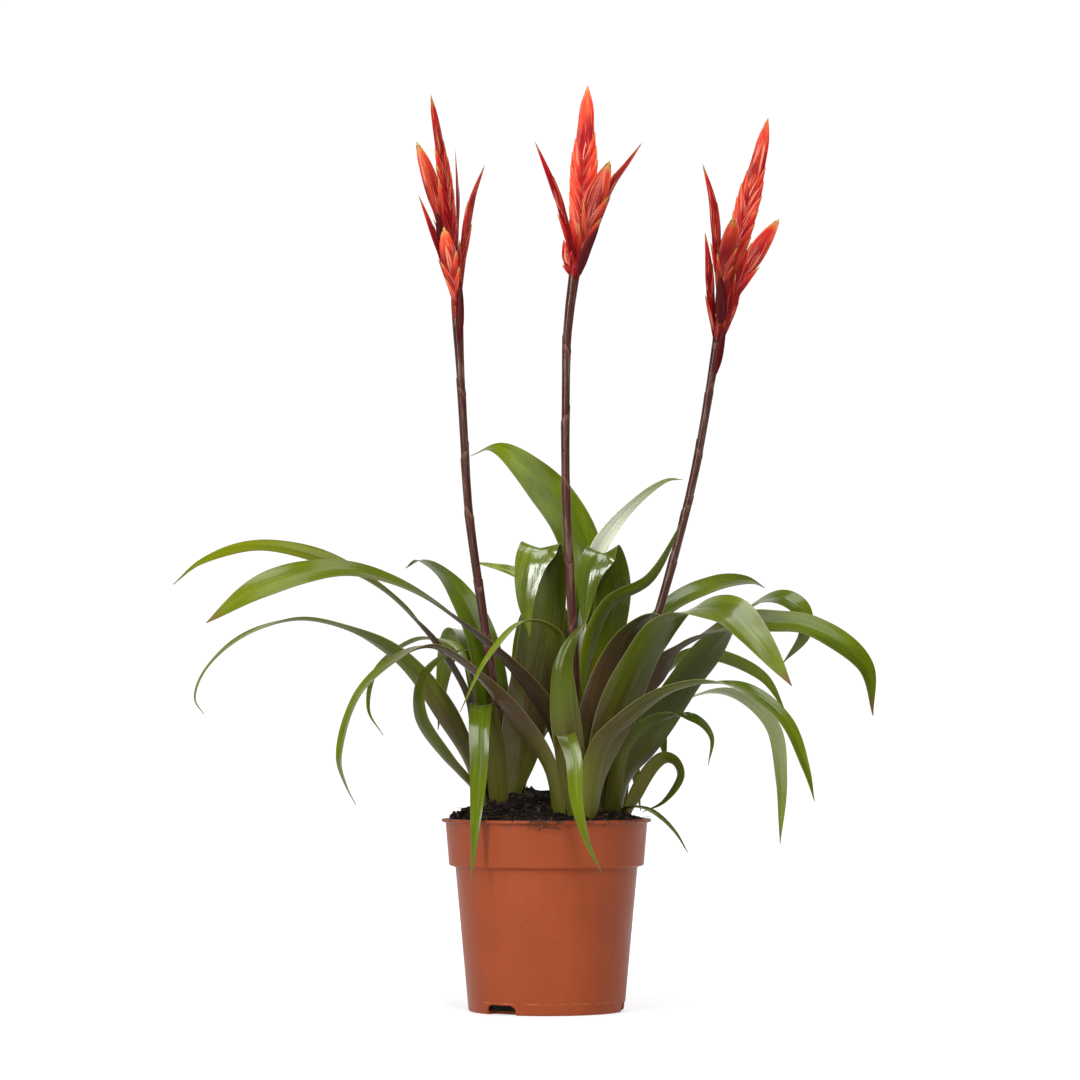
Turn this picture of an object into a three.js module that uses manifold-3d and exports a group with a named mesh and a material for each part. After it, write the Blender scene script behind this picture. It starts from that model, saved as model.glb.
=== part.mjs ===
// Flaming sword bromeliad (Vriesea) in a plastic nursery pot: three leaf rosettes, three flower stems.
// Millimetres, +Z up. The origin is the centre of the pot's underside.
import * as THREE from 'three';
import { mergeVertices } from 'three/addons/utils/BufferGeometryUtils.js';
import Module from 'manifold-3d';

const wasm = await Module();
wasm.setup();

// ---------------------------------------------------------------- driving dimensions

const CLEARANCE = 0.35; // gap between pieces that touch

const POT = {
  height: 109.5,
  lipRadius: 60,
  lipDrop: 2.2,
  bandTopRadius: 57.7,
  bandBottomRadius: 55.7,
  bandBottom: 83,
  shelfSlope: 1,
  bodyTopRadius: 52.1,
  footRadius: 44.6,
  footBevel: 0.8,
  lipRound: 0.5,
  wall: 1.6,
  floor: 1.8,
  sides: 36,
};

const DRAIN = { count: 3, azimuth: -125.5, width: 19.5, height: 5.6, inner: 36 };

const SOIL = {
  level: 112,
  mound: 14.5,
  moundX: -13,
  moundY: 12,
  moundReach: 31,
  rimDrop: 3,
  lumps: 0.9, // height of the lumps on its surface
  rimStart: 40, // radius from which the surface drops towards the pot's wall
  holeFloor: 95,
  rimGap: 0.2, // extra room between its edge and the pot's band
  rings: [46, 37, 28, 19, 10, 3],
  sides: 36,
  holeSides: 28,
};

// Where each rosette stands on the soil.
const LEFT = { x: -27, y: 4, holeRadius: 16.4 };
const MIDDLE = { x: 16, y: -24, holeRadius: 16.4 };
const RIGHT = { x: 33, y: 14, holeRadius: 16.4 };

const LEAF = {
  base: SOIL.holeFloor + 1, // leaf bases stand just above the hole's floor
  innerSheath: 5.6, // radius of the innermost ring of leaf bases
  sheathStep: 2.2, // each further ring stands this much farther out
  sheathAngle: 0.72, // half of the angle that a leaf base wraps round the stem, in radians
  thickness: 0.95,
  edgeThickness: 0.7,
  tipHalfWidth: 0.55,
  rootHeight: 10, // the upright foot of a blade
  steps: 12,
  across: 3, // strips across the blade
  bendWeight: 26, // extra stations per radian of bend, as millimetres of length
};

const STEM = { baseRadius: 2.75, topRadius: 2.2, neck: 0.6, peg: 1.3, sheathStep: 0.35, sides: 8 };

// ---------------------------------------------------------------- helpers

const radians = THREE.MathUtils.degToRad;
const smooth = (x, low, high) => THREE.MathUtils.smoothstep(x, low, high);
const lerp = THREE.MathUtils.lerp;

function material(name, color, roughness) {
  return new THREE.MeshStandardMaterial({ name, color, roughness, metalness: 0 });
}

const MATERIALS = {
  pot: material('terracotta_plastic', 0xb85a3c, 0.55),
  soil: material('soil', 0x2e211b, 1),
  leaf: material('leaf', 0x4f6b2a, 0.4),
  stem: material('stem', 0x4a2a26, 0.5),
  spike: material('spike', 0xd83a22, 0.4),
  bract: material('bract', 0x5a2326, 0.5),
};

// A closed geometry from rings of points, each ring with the same count, capped at both ends.
function loft(rings) {
  const count = rings[0].length;
  const positions = rings.flat().flatMap((p) => [p.x, p.y, p.z]);
  const triangles = [];
  for (let i = 0; i + 1 < rings.length; i++) {
    for (let j = 0; j < count; j++) {
      const next = (j + 1) % count;
      const [a, b] = [i * count + j, i * count + next];
      triangles.push(a, b, b + count, a, b + count, a + count);
    }
  }
  const last = (rings.length - 1) * count;
  for (let j = 1; j + 1 < count; j++) {
    triangles.push(0, j + 1, j, last, last + j, last + j + 1);
  }
  const geometry = new THREE.BufferGeometry();
  geometry.setAttribute('position', new THREE.Float32BufferAttribute(positions, 3));
  geometry.setIndex(triangles);
  return facedOut(geometry);
}

// Turns a closed geometry's faces outwards when they point in.
function facedOut(geometry) {
  const p = geometry.attributes.position;
  const index = geometry.index;
  const [a, b, c] = [new THREE.Vector3(), new THREE.Vector3(), new THREE.Vector3()];
  let volume = 0;
  for (let i = 0; i < index.count; i += 3) {
    a.fromBufferAttribute(p, index.getX(i));
    b.fromBufferAttribute(p, index.getX(i + 1));
    c.fromBufferAttribute(p, index.getX(i + 2));
    volume += a.dot(b.cross(c));
  }
  if (volume < 0) {
    const flipped = Array.from(index.array).reverse();
    geometry.setIndex(flipped);
  }
  return geometry;
}

function solidOf(geometry) {
  const bare = geometry.clone();
  bare.deleteAttribute('normal');
  bare.deleteAttribute('uv');
  const merged = mergeVertices(bare, 1e-4);
  const vertProperties = new Float32Array(merged.attributes.position.array);
  const triVerts = new Uint32Array(merged.index.array);
  return new wasm.Manifold(new wasm.Mesh({ numProp: 3, vertProperties, triVerts }));
}

function geometryOf(solid) {
  const mesh = solid.getMesh();
  const geometry = new THREE.BufferGeometry();
  geometry.setAttribute('position', new THREE.BufferAttribute(mesh.vertProperties, 3));
  geometry.setIndex(new THREE.BufferAttribute(mesh.triVerts, 1));
  return geometry;
}

const joined = (solids) => solids.reduce((all, one) => all.add(one));
const without = (solid, cutters) => cutters.reduce((rest, one) => rest.subtract(one), solid);

function addPiece(group, name, geometry, pieceMaterial) {
  const mesh = new THREE.Mesh(geometry, pieceMaterial.clone());
  mesh.name = name;
  group.add(mesh);
  return mesh;
}

function uprightCylinder(x, y, radius, bottom, top, sides) {
  const geometry = new THREE.CylinderGeometry(radius, radius, top - bottom, sides);
  geometry.rotateX(Math.PI / 2);
  geometry.translate(x, y, (bottom + top) / 2);
  return geometry;
}

// ---------------------------------------------------------------- pot

// Radius of the pot's outer wall at a height, without lip and band.
function bodyRadius(height) {
  return lerp(POT.footRadius, POT.bodyTopRadius, height / POT.bandBottom);
}

function makePot() {
  const top = POT.height;
  const bandTop = top - POT.lipDrop;
  const shelf = POT.bandBottom + POT.wall;
  const outline = [
    [0, 0],
    [POT.footRadius - POT.footBevel, 0],
    [POT.footRadius, POT.footBevel],
    [POT.bodyTopRadius, POT.bandBottom - POT.shelfSlope],
    [POT.bandBottomRadius, POT.bandBottom],
    [POT.bandTopRadius, bandTop],
    [POT.lipRadius, bandTop + POT.lipRound],
    [POT.lipRadius, top - POT.lipRound],
    [POT.lipRadius - POT.lipRound, top],
    [POT.bandTopRadius - POT.wall, top],
    [POT.bandBottomRadius - POT.wall, shelf],
    [POT.bodyTopRadius - POT.wall, shelf - POT.shelfSlope],
    [bodyRadius(POT.floor) - POT.wall, POT.floor],
    [0, POT.floor],
  ].map(([radius, height]) => new THREE.Vector2(radius, height));
  const shell = new THREE.LatheGeometry(outline, POT.sides);
  shell.rotateX(Math.PI / 2);
  return without(solidOf(facedOut(shell)), drainNotches());
}

// Arched notches through the foot of the wall, which let water out.
function drainNotches() {
  const { count, azimuth, width, height, inner } = DRAIN;
  const arch = new THREE.Shape();
  arch.moveTo(-width / 2, -1);
  arch.lineTo(-width / 2, height / 2);
  arch.quadraticCurveTo(-width / 2, height, -width / 4, height);
  arch.lineTo(width / 4, height);
  arch.quadraticCurveTo(width / 2, height, width / 2, height / 2);
  arch.lineTo(width / 2, -1);
  const depth = POT.footRadius + 2 - inner;
  return Array.from({ length: count }, (_, i) => {
    const notch = new THREE.ExtrudeGeometry(arch, { depth, bevelEnabled: false, curveSegments: 2 });
    notch.rotateX(Math.PI / 2);
    notch.translate(0, inner + depth, 0);
    notch.rotateZ(radians(azimuth - 90 + (360 / count) * i));
    return solidOf(notch);
  });
}

// ---------------------------------------------------------------- soil

function soilHeight(x, y) {
  const away = Math.hypot(x - SOIL.moundX, y - SOIL.moundY) / SOIL.moundReach;
  const mound = SOIL.mound * Math.exp(-away * away);
  const [broad, narrow] = [Math.sin(0.31 * x + 1.3) * Math.cos(0.27 * y), Math.sin(0.47 * (x - y))];
  const lumps = SOIL.lumps * (broad + 0.8 * narrow);
  const drop = SOIL.rimDrop * smooth(Math.hypot(x, y), SOIL.rimStart, POT.bodyTopRadius);
  return SOIL.level + mound + lumps - drop;
}

function makeSoil() {
  const gap = POT.wall + CLEARANCE;
  const shelf = POT.bandBottom + POT.wall;
  const side = [
    [bodyRadius(POT.floor) - gap, POT.floor + CLEARANCE],
    [POT.bodyTopRadius - gap, shelf - POT.shelfSlope],
    [POT.bandBottomRadius - gap, shelf + CLEARANCE],
  ];
  const topRadius = POT.bandTopRadius - gap - SOIL.rimGap;
  const ring = (radius, heightAt) => Array.from({ length: SOIL.sides }, (_, j) => {
    const turn = (2 * Math.PI * j) / SOIL.sides;
    const [x, y] = [radius * Math.cos(turn), radius * Math.sin(turn)];
    return new THREE.Vector3(x, y, heightAt(x, y));
  });
  const rings = side.map(([radius, height]) => ring(radius, () => height));
  for (const radius of [topRadius, ...SOIL.rings]) {
    rings.push(ring(radius, soilHeight));
  }
  const heap = solidOf(loft(rings));
  const holes = [LEFT, MIDDLE, RIGHT].map(({ x, y, holeRadius }) =>
    solidOf(uprightCylinder(x, y, holeRadius, SOIL.holeFloor, SOIL.level + 2 * SOIL.mound, SOIL.holeSides)));
  return without(heap, holes);
}

// ---------------------------------------------------------------- leaves

// A point of a rosette's leaf: reach along its azimuth, height, and sideways sway.
function leafPoint(plant, azimuth, [reach, height, sway = 0]) {
  const [c, s] = [Math.cos(azimuth), Math.sin(azimuth)];
  return new THREE.Vector3(plant.x + reach * c - sway * s, plant.y + reach * s + sway * c, height);
}

// Places along a curve, closer together where it bends.
function stations(curve, steps) {
  const fine = 240;
  const travelled = [0];
  const length = curve.getLength();
  let before = curve.getTangentAt(0);
  for (let i = 1; i <= fine; i++) {
    const tangent = curve.getTangentAt(i / fine);
    travelled.push(travelled[i - 1] + length / fine + LEAF.bendWeight * before.angleTo(tangent));
    before = tangent;
  }
  const places = [];
  for (let k = 0; k <= steps; k++) {
    const goal = (travelled[fine] * k) / steps;
    const i = Math.max(1, travelled.findIndex((value) => value >= goal - 1e-6));
    const part = (goal - travelled[i - 1]) / (travelled[i] - travelled[i - 1]);
    places.push(Math.min(1, (i - 1 + part) / fine));
  }
  return places;
}

// Twist in radians at a place along the leaf, from a list of [place, degrees].
function twistAt(list, place) {
  let [before, turned] = [0, 0];
  for (const [at, degrees] of list) {
    if (place <= at) {
      return radians(lerp(turned, degrees, smooth(place, before, at)));
    }
    [before, turned] = [at, degrees];
  }
  return radians(turned);
}

function halfWidthAt(place, baseHalf, half, widest, shoulder) {
  const grown = lerp(baseHalf, half, smooth(place, 0.02, widest));
  const q = Math.max(0, (place - shoulder) / (1 - shoulder));
  return Math.max(LEAF.tipHalfWidth, grown * (1 - q * q) * (1 - 0.2 * q));
}

function leafGeometry(spec) {
  const { plant, azimuth, layer, path, width, twist = [] } = spec;
  const { wrap = 1, keel = 0.5, widest = 0.3, shoulder = 0.5 } = spec;
  const turn = radians(azimuth);
  const sheath = LEAF.innerSheath + LEAF.sheathStep * layer;
  const roots = [[sheath, LEAF.base], [sheath, LEAF.base + LEAF.rootHeight]];
  const spine = new THREE.CatmullRomCurve3([...roots, ...path].map((p) => leafPoint(plant, turn, p)));
  const baseHalf = sheath * LEAF.sheathAngle * wrap;
  const sideways = new THREE.Vector3(-Math.sin(turn), Math.cos(turn), 0);
  const rings = stations(spine, LEAF.steps).map((place) => {
    const centre = spine.getPointAt(place);
    const along = spine.getTangentAt(place);
    const across = sideways.clone().addScaledVector(along, -sideways.dot(along)).normalize();
    const inward = new THREE.Vector3().crossVectors(along, across);
    const roll = twistAt(twist, place);
    const b = across.clone().multiplyScalar(Math.cos(roll)).addScaledVector(inward, Math.sin(roll));
    const n = inward.clone().multiplyScalar(Math.cos(roll)).addScaledVector(across, -Math.sin(roll));
    const half = halfWidthAt(place, baseHalf, width / 2, widest, shoulder);
    const flare = lerp(LEAF.sheathAngle * wrap, keel * (1 - place / 2), smooth(place, 0, 0.25));
    const radius = half / flare;
    const section = (u, side) => {
      const angle = u * flare;
      const thick = lerp(LEAF.thickness, LEAF.edgeThickness, Math.max(u * u, place));
      const depth = radius * (1 - Math.cos(angle)) + side * thick / 2 * Math.cos(angle);
      const offset = radius * Math.sin(angle) - side * thick / 2 * Math.sin(angle);
      return centre.clone().addScaledVector(b, offset).addScaledVector(n, depth);
    };
    const strips = Array.from({ length: LEAF.across + 1 }, (_, j) => (2 * j) / LEAF.across - 1);
    return [...strips.map((u) => section(u, 1)), ...strips.reverse().map((u) => section(u, -1))];
  });
  return bladeGeometry(rings);
}

// A thin blade's closed surface, its upper and lower faces split into triangles alike.
function bladeGeometry(rings) {
  const count = rings[0].length;
  const half = count / 2;
  const positions = rings.flat().flatMap((p) => [p.x, p.y, p.z]);
  const triangles = [];
  for (let i = 0; i + 1 < rings.length; i++) {
    for (let j = 0; j < count; j++) {
      const next = (j + 1) % count;
      const [a, b] = [i * count + j, i * count + next];
      const [c, d] = [b + count, a + count];
      if (j < half) {
        triangles.push(a, b, c, a, c, d);
      } else {
        triangles.push(a, b, d, b, c, d);
      }
    }
  }
  const last = (rings.length - 1) * count;
  for (let j = 0; j + 1 < half; j++) {
    const [a, b, c, d] = [j, j + 1, count - 2 - j, count - 1 - j];
    triangles.push(a, c, b, a, d, c);
    triangles.push(last + a, last + b, last + c, last + a, last + c, last + d);
  }
  const geometry = new THREE.BufferGeometry();
  geometry.setAttribute('position', new THREE.Float32BufferAttribute(positions, 3));
  geometry.setIndex(triangles);
  return facedOut(geometry);
}

// Each leaf: azimuth in degrees (0 right, 90 back, 180 left, -90 front), layer of the rosette from the
// inside out, path as [reach, height, sway], widest blade, and twist as [place along the leaf, degrees].
const LEAVES = {
  left_1: {
    plant: LEFT, azimuth: 170, layer: 2, width: 12, wrap: 0.8, shoulder: 0.75,
    path: [[15, 150], [21, 183], [59, 233], [95, 256], [142, 267], [177, 258], [194, 245]],
    twist: [[0.05, 0], [0.2, 32], [0.36, 28], [0.5, 0], [0.7, -40], [1, -45]],
  },
  left_2: {
    plant: LEFT, azimuth: 204, layer: 3, width: 17, wrap: 0.95,
    path: [
      [20, 143], [51, 191], [79, 211], [122, 222],
      [158, 211], [179, 192], [184, 177], [179, 169],
    ],
    twist: [[0.1, 0], [0.3, 30], [0.6, 0]],
  },
  left_3: {
    plant: LEFT, azimuth: 122, layer: 0, width: 23,
    path: [[7, 150], [12, 189], [21, 212], [38, 233], [60, 250], [92, 261], [108, 257]],
  },
  left_4: {
    plant: LEFT, azimuth: 150, layer: 1, width: 11, wrap: 0.7,
    path: [[12, 150], [17, 185], [25, 205], [40, 212], [57, 212], [83, 196], [89, 172], [79, 157]],
  },
  left_5: {
    plant: LEFT, azimuth: 222, layer: 4, width: 12, wrap: 0.35, widest: 0.4,
    path: [[17, 124], [28, 134], [41, 145], [60, 168], [59, 189], [41, 203], [15, 207]],
  },
  left_6: {
    plant: LEFT, azimuth: -92, layer: 2, width: 13, wrap: 0.7, shoulder: 0.45,
    path: [
      [13, 125], [26, 160, -4], [39, 174, -8], [48, 164, -9],
      [54, 140, -9], [57, 105, -11], [57, 76, -13],
    ],
  },
  left_7: {
    plant: LEFT, azimuth: 22, layer: 0, width: 10, wrap: 0.6,
    path: [[7, 143], [9, 177], [11, 212], [17, 229], [24, 221], [26, 205]],
  },
  left_8: {
    plant: LEFT, azimuth: -78, layer: 0, width: 25.5, keel: 0.15, shoulder: 0.66,
    path: [
      [7, 145, 10], [9, 177, 15], [11, 211, 21.5], [13, 240, 24], [16, 258, 22.5],
      [22, 264, 19.5], [29, 256, 12.5], [33, 236, 8.5], [34, 213, 10.5],
    ],
  },
  left_9: {
    plant: LEFT, azimuth: 105.5, layer: 3, width: 22, wrap: 0.8, widest: 0.4,
    path: [[16, 140], [30, 180], [60, 214], [100, 218], [130, 196], [146, 160]],
  },
  left_10: {
    plant: LEFT, azimuth: 46, layer: 4, width: 20, wrap: 0.85,
    path: [[15, 129], [34, 160], [62, 176], [92, 168], [112, 142], [120, 112]],
  },
  middle_1: {
    plant: MIDDLE, azimuth: 198, layer: 1, width: 15.5, shoulder: 0.86,
    path: [
      [12, 160], [26, 183], [62, 216], [96, 238],
      [131, 249], [159, 247], [185, 238], [214, 219],
    ],
    twist: [[0.1, 0], [0.25, 30], [0.42, 0], [0.62, -25], [0.85, -58], [1, -55]],
  },
  middle_2: {
    plant: MIDDLE, azimuth: 208, layer: 3, width: 15, wrap: 0.95, shoulder: 0.6,
    path: [
      [18, 140], [45, 175], [76, 200], [92, 206], [107, 202],
      [135, 180], [147, 145], [143, 130], [137, 119],
    ],
    twist: [[0.12, 0], [0.26, 20], [0.45, 0]],
  },
  middle_3: {
    plant: MIDDLE, azimuth: 222, layer: 0, width: 6, wrap: 0.4, shoulder: 0.7,
    path: [[6, 150], [6, 190], [12, 214], [38, 221], [65, 201], [86, 170]],
  },
  middle_4: {
    plant: MIDDLE, azimuth: -100, layer: 2, width: 18, widest: 0.6,
    path: [[15, 140, 0], [20, 175, -3], [21, 197, -3], [19, 211, 2], [15, 222, 9]],
  },
  middle_5: {
    plant: MIDDLE, azimuth: -94, layer: 3, width: 10.5, wrap: 0.22, widest: 0.45, shoulder: 0.45,
    path: [
      [17, 130, -4], [28, 152, -5], [38, 157, -3], [45, 145, 2],
      [49, 121, 4], [50, 98, 10], [48, 81, 18],
    ],
  },
  middle_6: {
    plant: MIDDLE, azimuth: -30, layer: 1, width: 26, keel: 0.25, widest: 0.5,
    path: [[10, 140], [20, 182], [30, 207], [41, 220], [52, 225], [61, 221]],
    twist: [[0.15, 0], [0.4, -35], [0.75, -25], [1, 0]],
  },
  middle_7: {
    plant: MIDDLE, azimuth: -37, layer: 3, width: 27, keel: 0.3, widest: 0.5, shoulder: 0.72,
    path: [[18, 140], [36, 182], [62, 217], [81, 227], [106, 225], [122, 212], [147, 184]],
    twist: [[0.12, 0], [0.3, -32], [0.5, -12], [0.75, 30]],
  },
  middle_8: {
    plant: MIDDLE, azimuth: -12.5, layer: 2, width: 19, wrap: 0.7, widest: 0.45, shoulder: 0.8,
    path: [
      [18, 145], [34, 178], [45, 190], [60, 205], [79, 215],
      [95, 220], [115, 220], [135, 217.5], [165, 196], [170, 168],
    ],
    twist: [[0.12, 0], [0.25, -45], [0.38, -45], [0.48, 0], [0.62, 40], [1, 35]],
  },
  middle_9: {
    plant: MIDDLE, azimuth: -60, layer: 4, width: 14, wrap: 0.7, widest: 0.4, shoulder: 0.65,
    path: [
      [19, 134], [25, 152, 3], [35, 163, 9], [59, 182, 27],
      [90, 185, 48], [116, 166, 65], [127, 139, 72], [131, 121, 75],
    ],
  },
  middle_10: {
    plant: MIDDLE, azimuth: 6, layer: 0, width: 11, wrap: 0.5, widest: 0.55, shoulder: 0.6,
    path: [[7, 150], [8, 205], [20, 232], [43, 246], [63, 281]],
    twist: [[0.3, 0], [0.55, -50], [1, -50]],
  },
  right_1: {
    plant: RIGHT, azimuth: 38, layer: 0, width: 14, wrap: 0.7, shoulder: 0.85,
    path: [[10, 150], [27, 206], [50, 232], [88, 247], [112, 249], [124, 245]],
    twist: [[0.5, 0], [0.8, 35]],
  },
  right_2: {
    plant: RIGHT, azimuth: -22, layer: 2, width: 25, keel: 0.35, widest: 0.36, shoulder: 0.55,
    path: [
      [14, 134], [27, 154], [60, 199], [92, 231],
      [108, 235], [120, 228], [122, 215], [109, 198],
    ],
    twist: [[0.08, 0], [0.25, -35], [0.5, -30], [0.7, 10], [0.85, 45], [1, 45]],
  },
  right_3: {
    plant: RIGHT, azimuth: 20, layer: 1, width: 11, wrap: 0.6, shoulder: 0.7,
    path: [[10, 140], [23, 172], [47, 201], [66, 204], [100, 191], [115, 170]],
    twist: [[0.3, 0], [0.5, -40], [1, -40]],
  },
  right_4: {
    plant: RIGHT, azimuth: 34, layer: 3, width: 9, wrap: 0.5, shoulder: 0.75,
    path: [[17, 136], [48, 173], [91, 182], [122, 163], [129, 131], [128, 92]],
    twist: [[0.4, 0], [0.65, -40], [1, -40]],
  },
  right_5: {
    plant: RIGHT, azimuth: -70, layer: 3, width: 10.5, wrap: 0.5, widest: 0.35, shoulder: 0.35,
    path: [
      [19, 128], [30, 148], [40, 162, 9], [46, 168, 22],
      [49, 166, 38], [49, 156, 47], [49, 140, 45],
    ],
  },
  right_6: {
    plant: RIGHT, azimuth: -14, layer: 4, width: 9, wrap: 0.4, shoulder: 0.5,
    path: [[17, 118], [29, 139], [36, 144], [42, 142], [45, 134], [35, 119], [23, 113]],
    twist: [[0.1, 0], [0.3, -55], [0.75, -50], [1, -20]],
  },
  right_7: {
    plant: RIGHT, azimuth: -50, layer: 4, width: 5, wrap: 0.4,
    path: [[16, 113], [21, 116, 1], [33, 115, 4], [45, 109, 6], [54, 101, 8], [62, 91, 9]],
  },
  right_8: {
    plant: RIGHT, azimuth: -76, layer: 0, width: 21, keel: 0.15, widest: 0.5, shoulder: 0.7,
    path: [[9, 150, 1], [13, 206, -2], [18, 242, 1], [24, 261, -6], [31, 250, -16], [34, 216, -21]],
  },
  right_9: {
    plant: RIGHT, azimuth: 128, layer: 0, width: 25, widest: 0.5, shoulder: 0.75,
    path: [
      [8, 150, -1], [15, 210, -2], [22, 253, -4], [34, 279, -4],
      [66, 313, 3], [90, 328, 10], [108, 324, 15],
    ],
    twist: [[0.35, 0], [0.6, -35], [1, -25]],
  },
  right_10: {
    plant: RIGHT, azimuth: 200, layer: 1, width: 14, wrap: 0.7,
    path: [
      [12, 150, -2], [14, 190, -1], [13, 230, -2], [7, 253, -5],
      [-3, 271, -8], [-28, 295, -16], [-49, 307, -23], [-61, 308, -29],
    ],
    twist: [[0.5, 0], [0.7, -75], [1, -60]],
  },
  right_11: {
    plant: RIGHT, azimuth: 166, layer: 3, width: 15, wrap: 0.6,
    path: [
      [16, 150, 0], [19, 190, 2], [24, 220, 4], [36, 243, 3],
      [53, 252, 1], [68, 256, 0], [80, 258, 0],
    ],
    twist: [[0.5, 0], [0.66, -60], [1, -65]],
  },
  right_12: {
    plant: RIGHT, azimuth: 95, layer: 3, width: 23, wrap: 0.85,
    path: [[15, 140], [30, 184], [62, 214], [98, 212], [126, 184], [138, 146]],
  },
  right_13: {
    plant: RIGHT, azimuth: 66, layer: 4, width: 20,
    path: [[17, 130], [34, 158], [60, 174], [84, 162], [96, 140]],
  },
};

// ---------------------------------------------------------------- flower stems

// Each flower's axis: the points it passes from the soil to its main spike, how many sheaths wrap the
// stem, where the red collar starts and where the stem ends inside it, as places along the axis.
const STEMS = {
  left: {
    path: [
      [-27, 4, 96], [-27, 4, 143], [-31, 4, 189], [-37, 4, 230],
      [-44.8, 4, 287], [-47.7, 4, 333], [-50.2, 4, 376], [-53, 4, 430],
    ],
    sheaths: 8, collar: 0.886, top: 0.925,
  },
  middle: {
    path: [
      [16, -24, 96], [16, -24, 177], [15, -24, 211], [11, -24, 300],
      [11, -24, 348], [12, -24, 388], [17, -24, 428],
    ],
    sheaths: 8, collar: 0.965, top: 0.985,
  },
  right: {
    path: [
      [33, 14, 96], [37, 14, 154], [54, 14, 195], [66, 14, 232],
      [85, 14, 305], [97, 14, 372], [105, 14, 420],
    ],
    sheaths: 9, collar: 0.895, top: 0.935,
  },
};

// A closed bar along a curve, from stops of [place, width, depth, sideways offset].
function barGeometry(curve, stops, sides, sideways = new THREE.Vector3(1, 0, 0)) {
  const rings = stops.map(([place, width, depth, offset = 0]) => {
    const along = curve.getTangentAt(place);
    const v = new THREE.Vector3().crossVectors(along, sideways).normalize();
    const u = new THREE.Vector3().crossVectors(v, along);
    const centre = curve.getPointAt(place).addScaledVector(u, offset);
    return Array.from({ length: sides }, (_, j) => {
      const turn = (2 * Math.PI * j) / sides;
      return centre.clone()
        .addScaledVector(u, (width / 2) * Math.cos(turn))
        .addScaledVector(v, (depth / 2) * Math.sin(turn));
    });
  });
  return loft(rings);
}

function curveThrough(path) {
  return new THREE.CatmullRomCurve3(path.map((p) => new THREE.Vector3(...p)));
}

// A sheathed stem that ends in a peg, which stands inside the flower head's collar.
function stemGeometry({ path, sheaths, collar, top }, grow = 0) {
  const curve = curveThrough(path);
  const radius = (place) =>
    lerp(STEM.baseRadius, STEM.topRadius, place) + STEM.neck * smooth(place, 0.8, collar) + grow;
  const stops = [];
  for (let i = 0; i < sheaths; i++) {
    const [start, end] = [(collar * i) / sheaths, (collar * (i + 0.96)) / sheaths];
    const swollen = 2 * (radius(end) + STEM.sheathStep);
    stops.push([start, 2 * radius(start), 2 * radius(start)], [end, swollen, swollen]);
  }
  const peg = 2 * (STEM.peg + grow);
  const shoulder = collar + grow / curve.getLength();
  stops.push([shoulder - 0.001, 2 * radius(collar), 2 * radius(collar)], [shoulder, peg, peg]);
  stops.push([top + grow / curve.getLength(), peg, peg]);
  return barGeometry(curve, stops, STEM.sides);
}

// ---------------------------------------------------------------- flower heads

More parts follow.
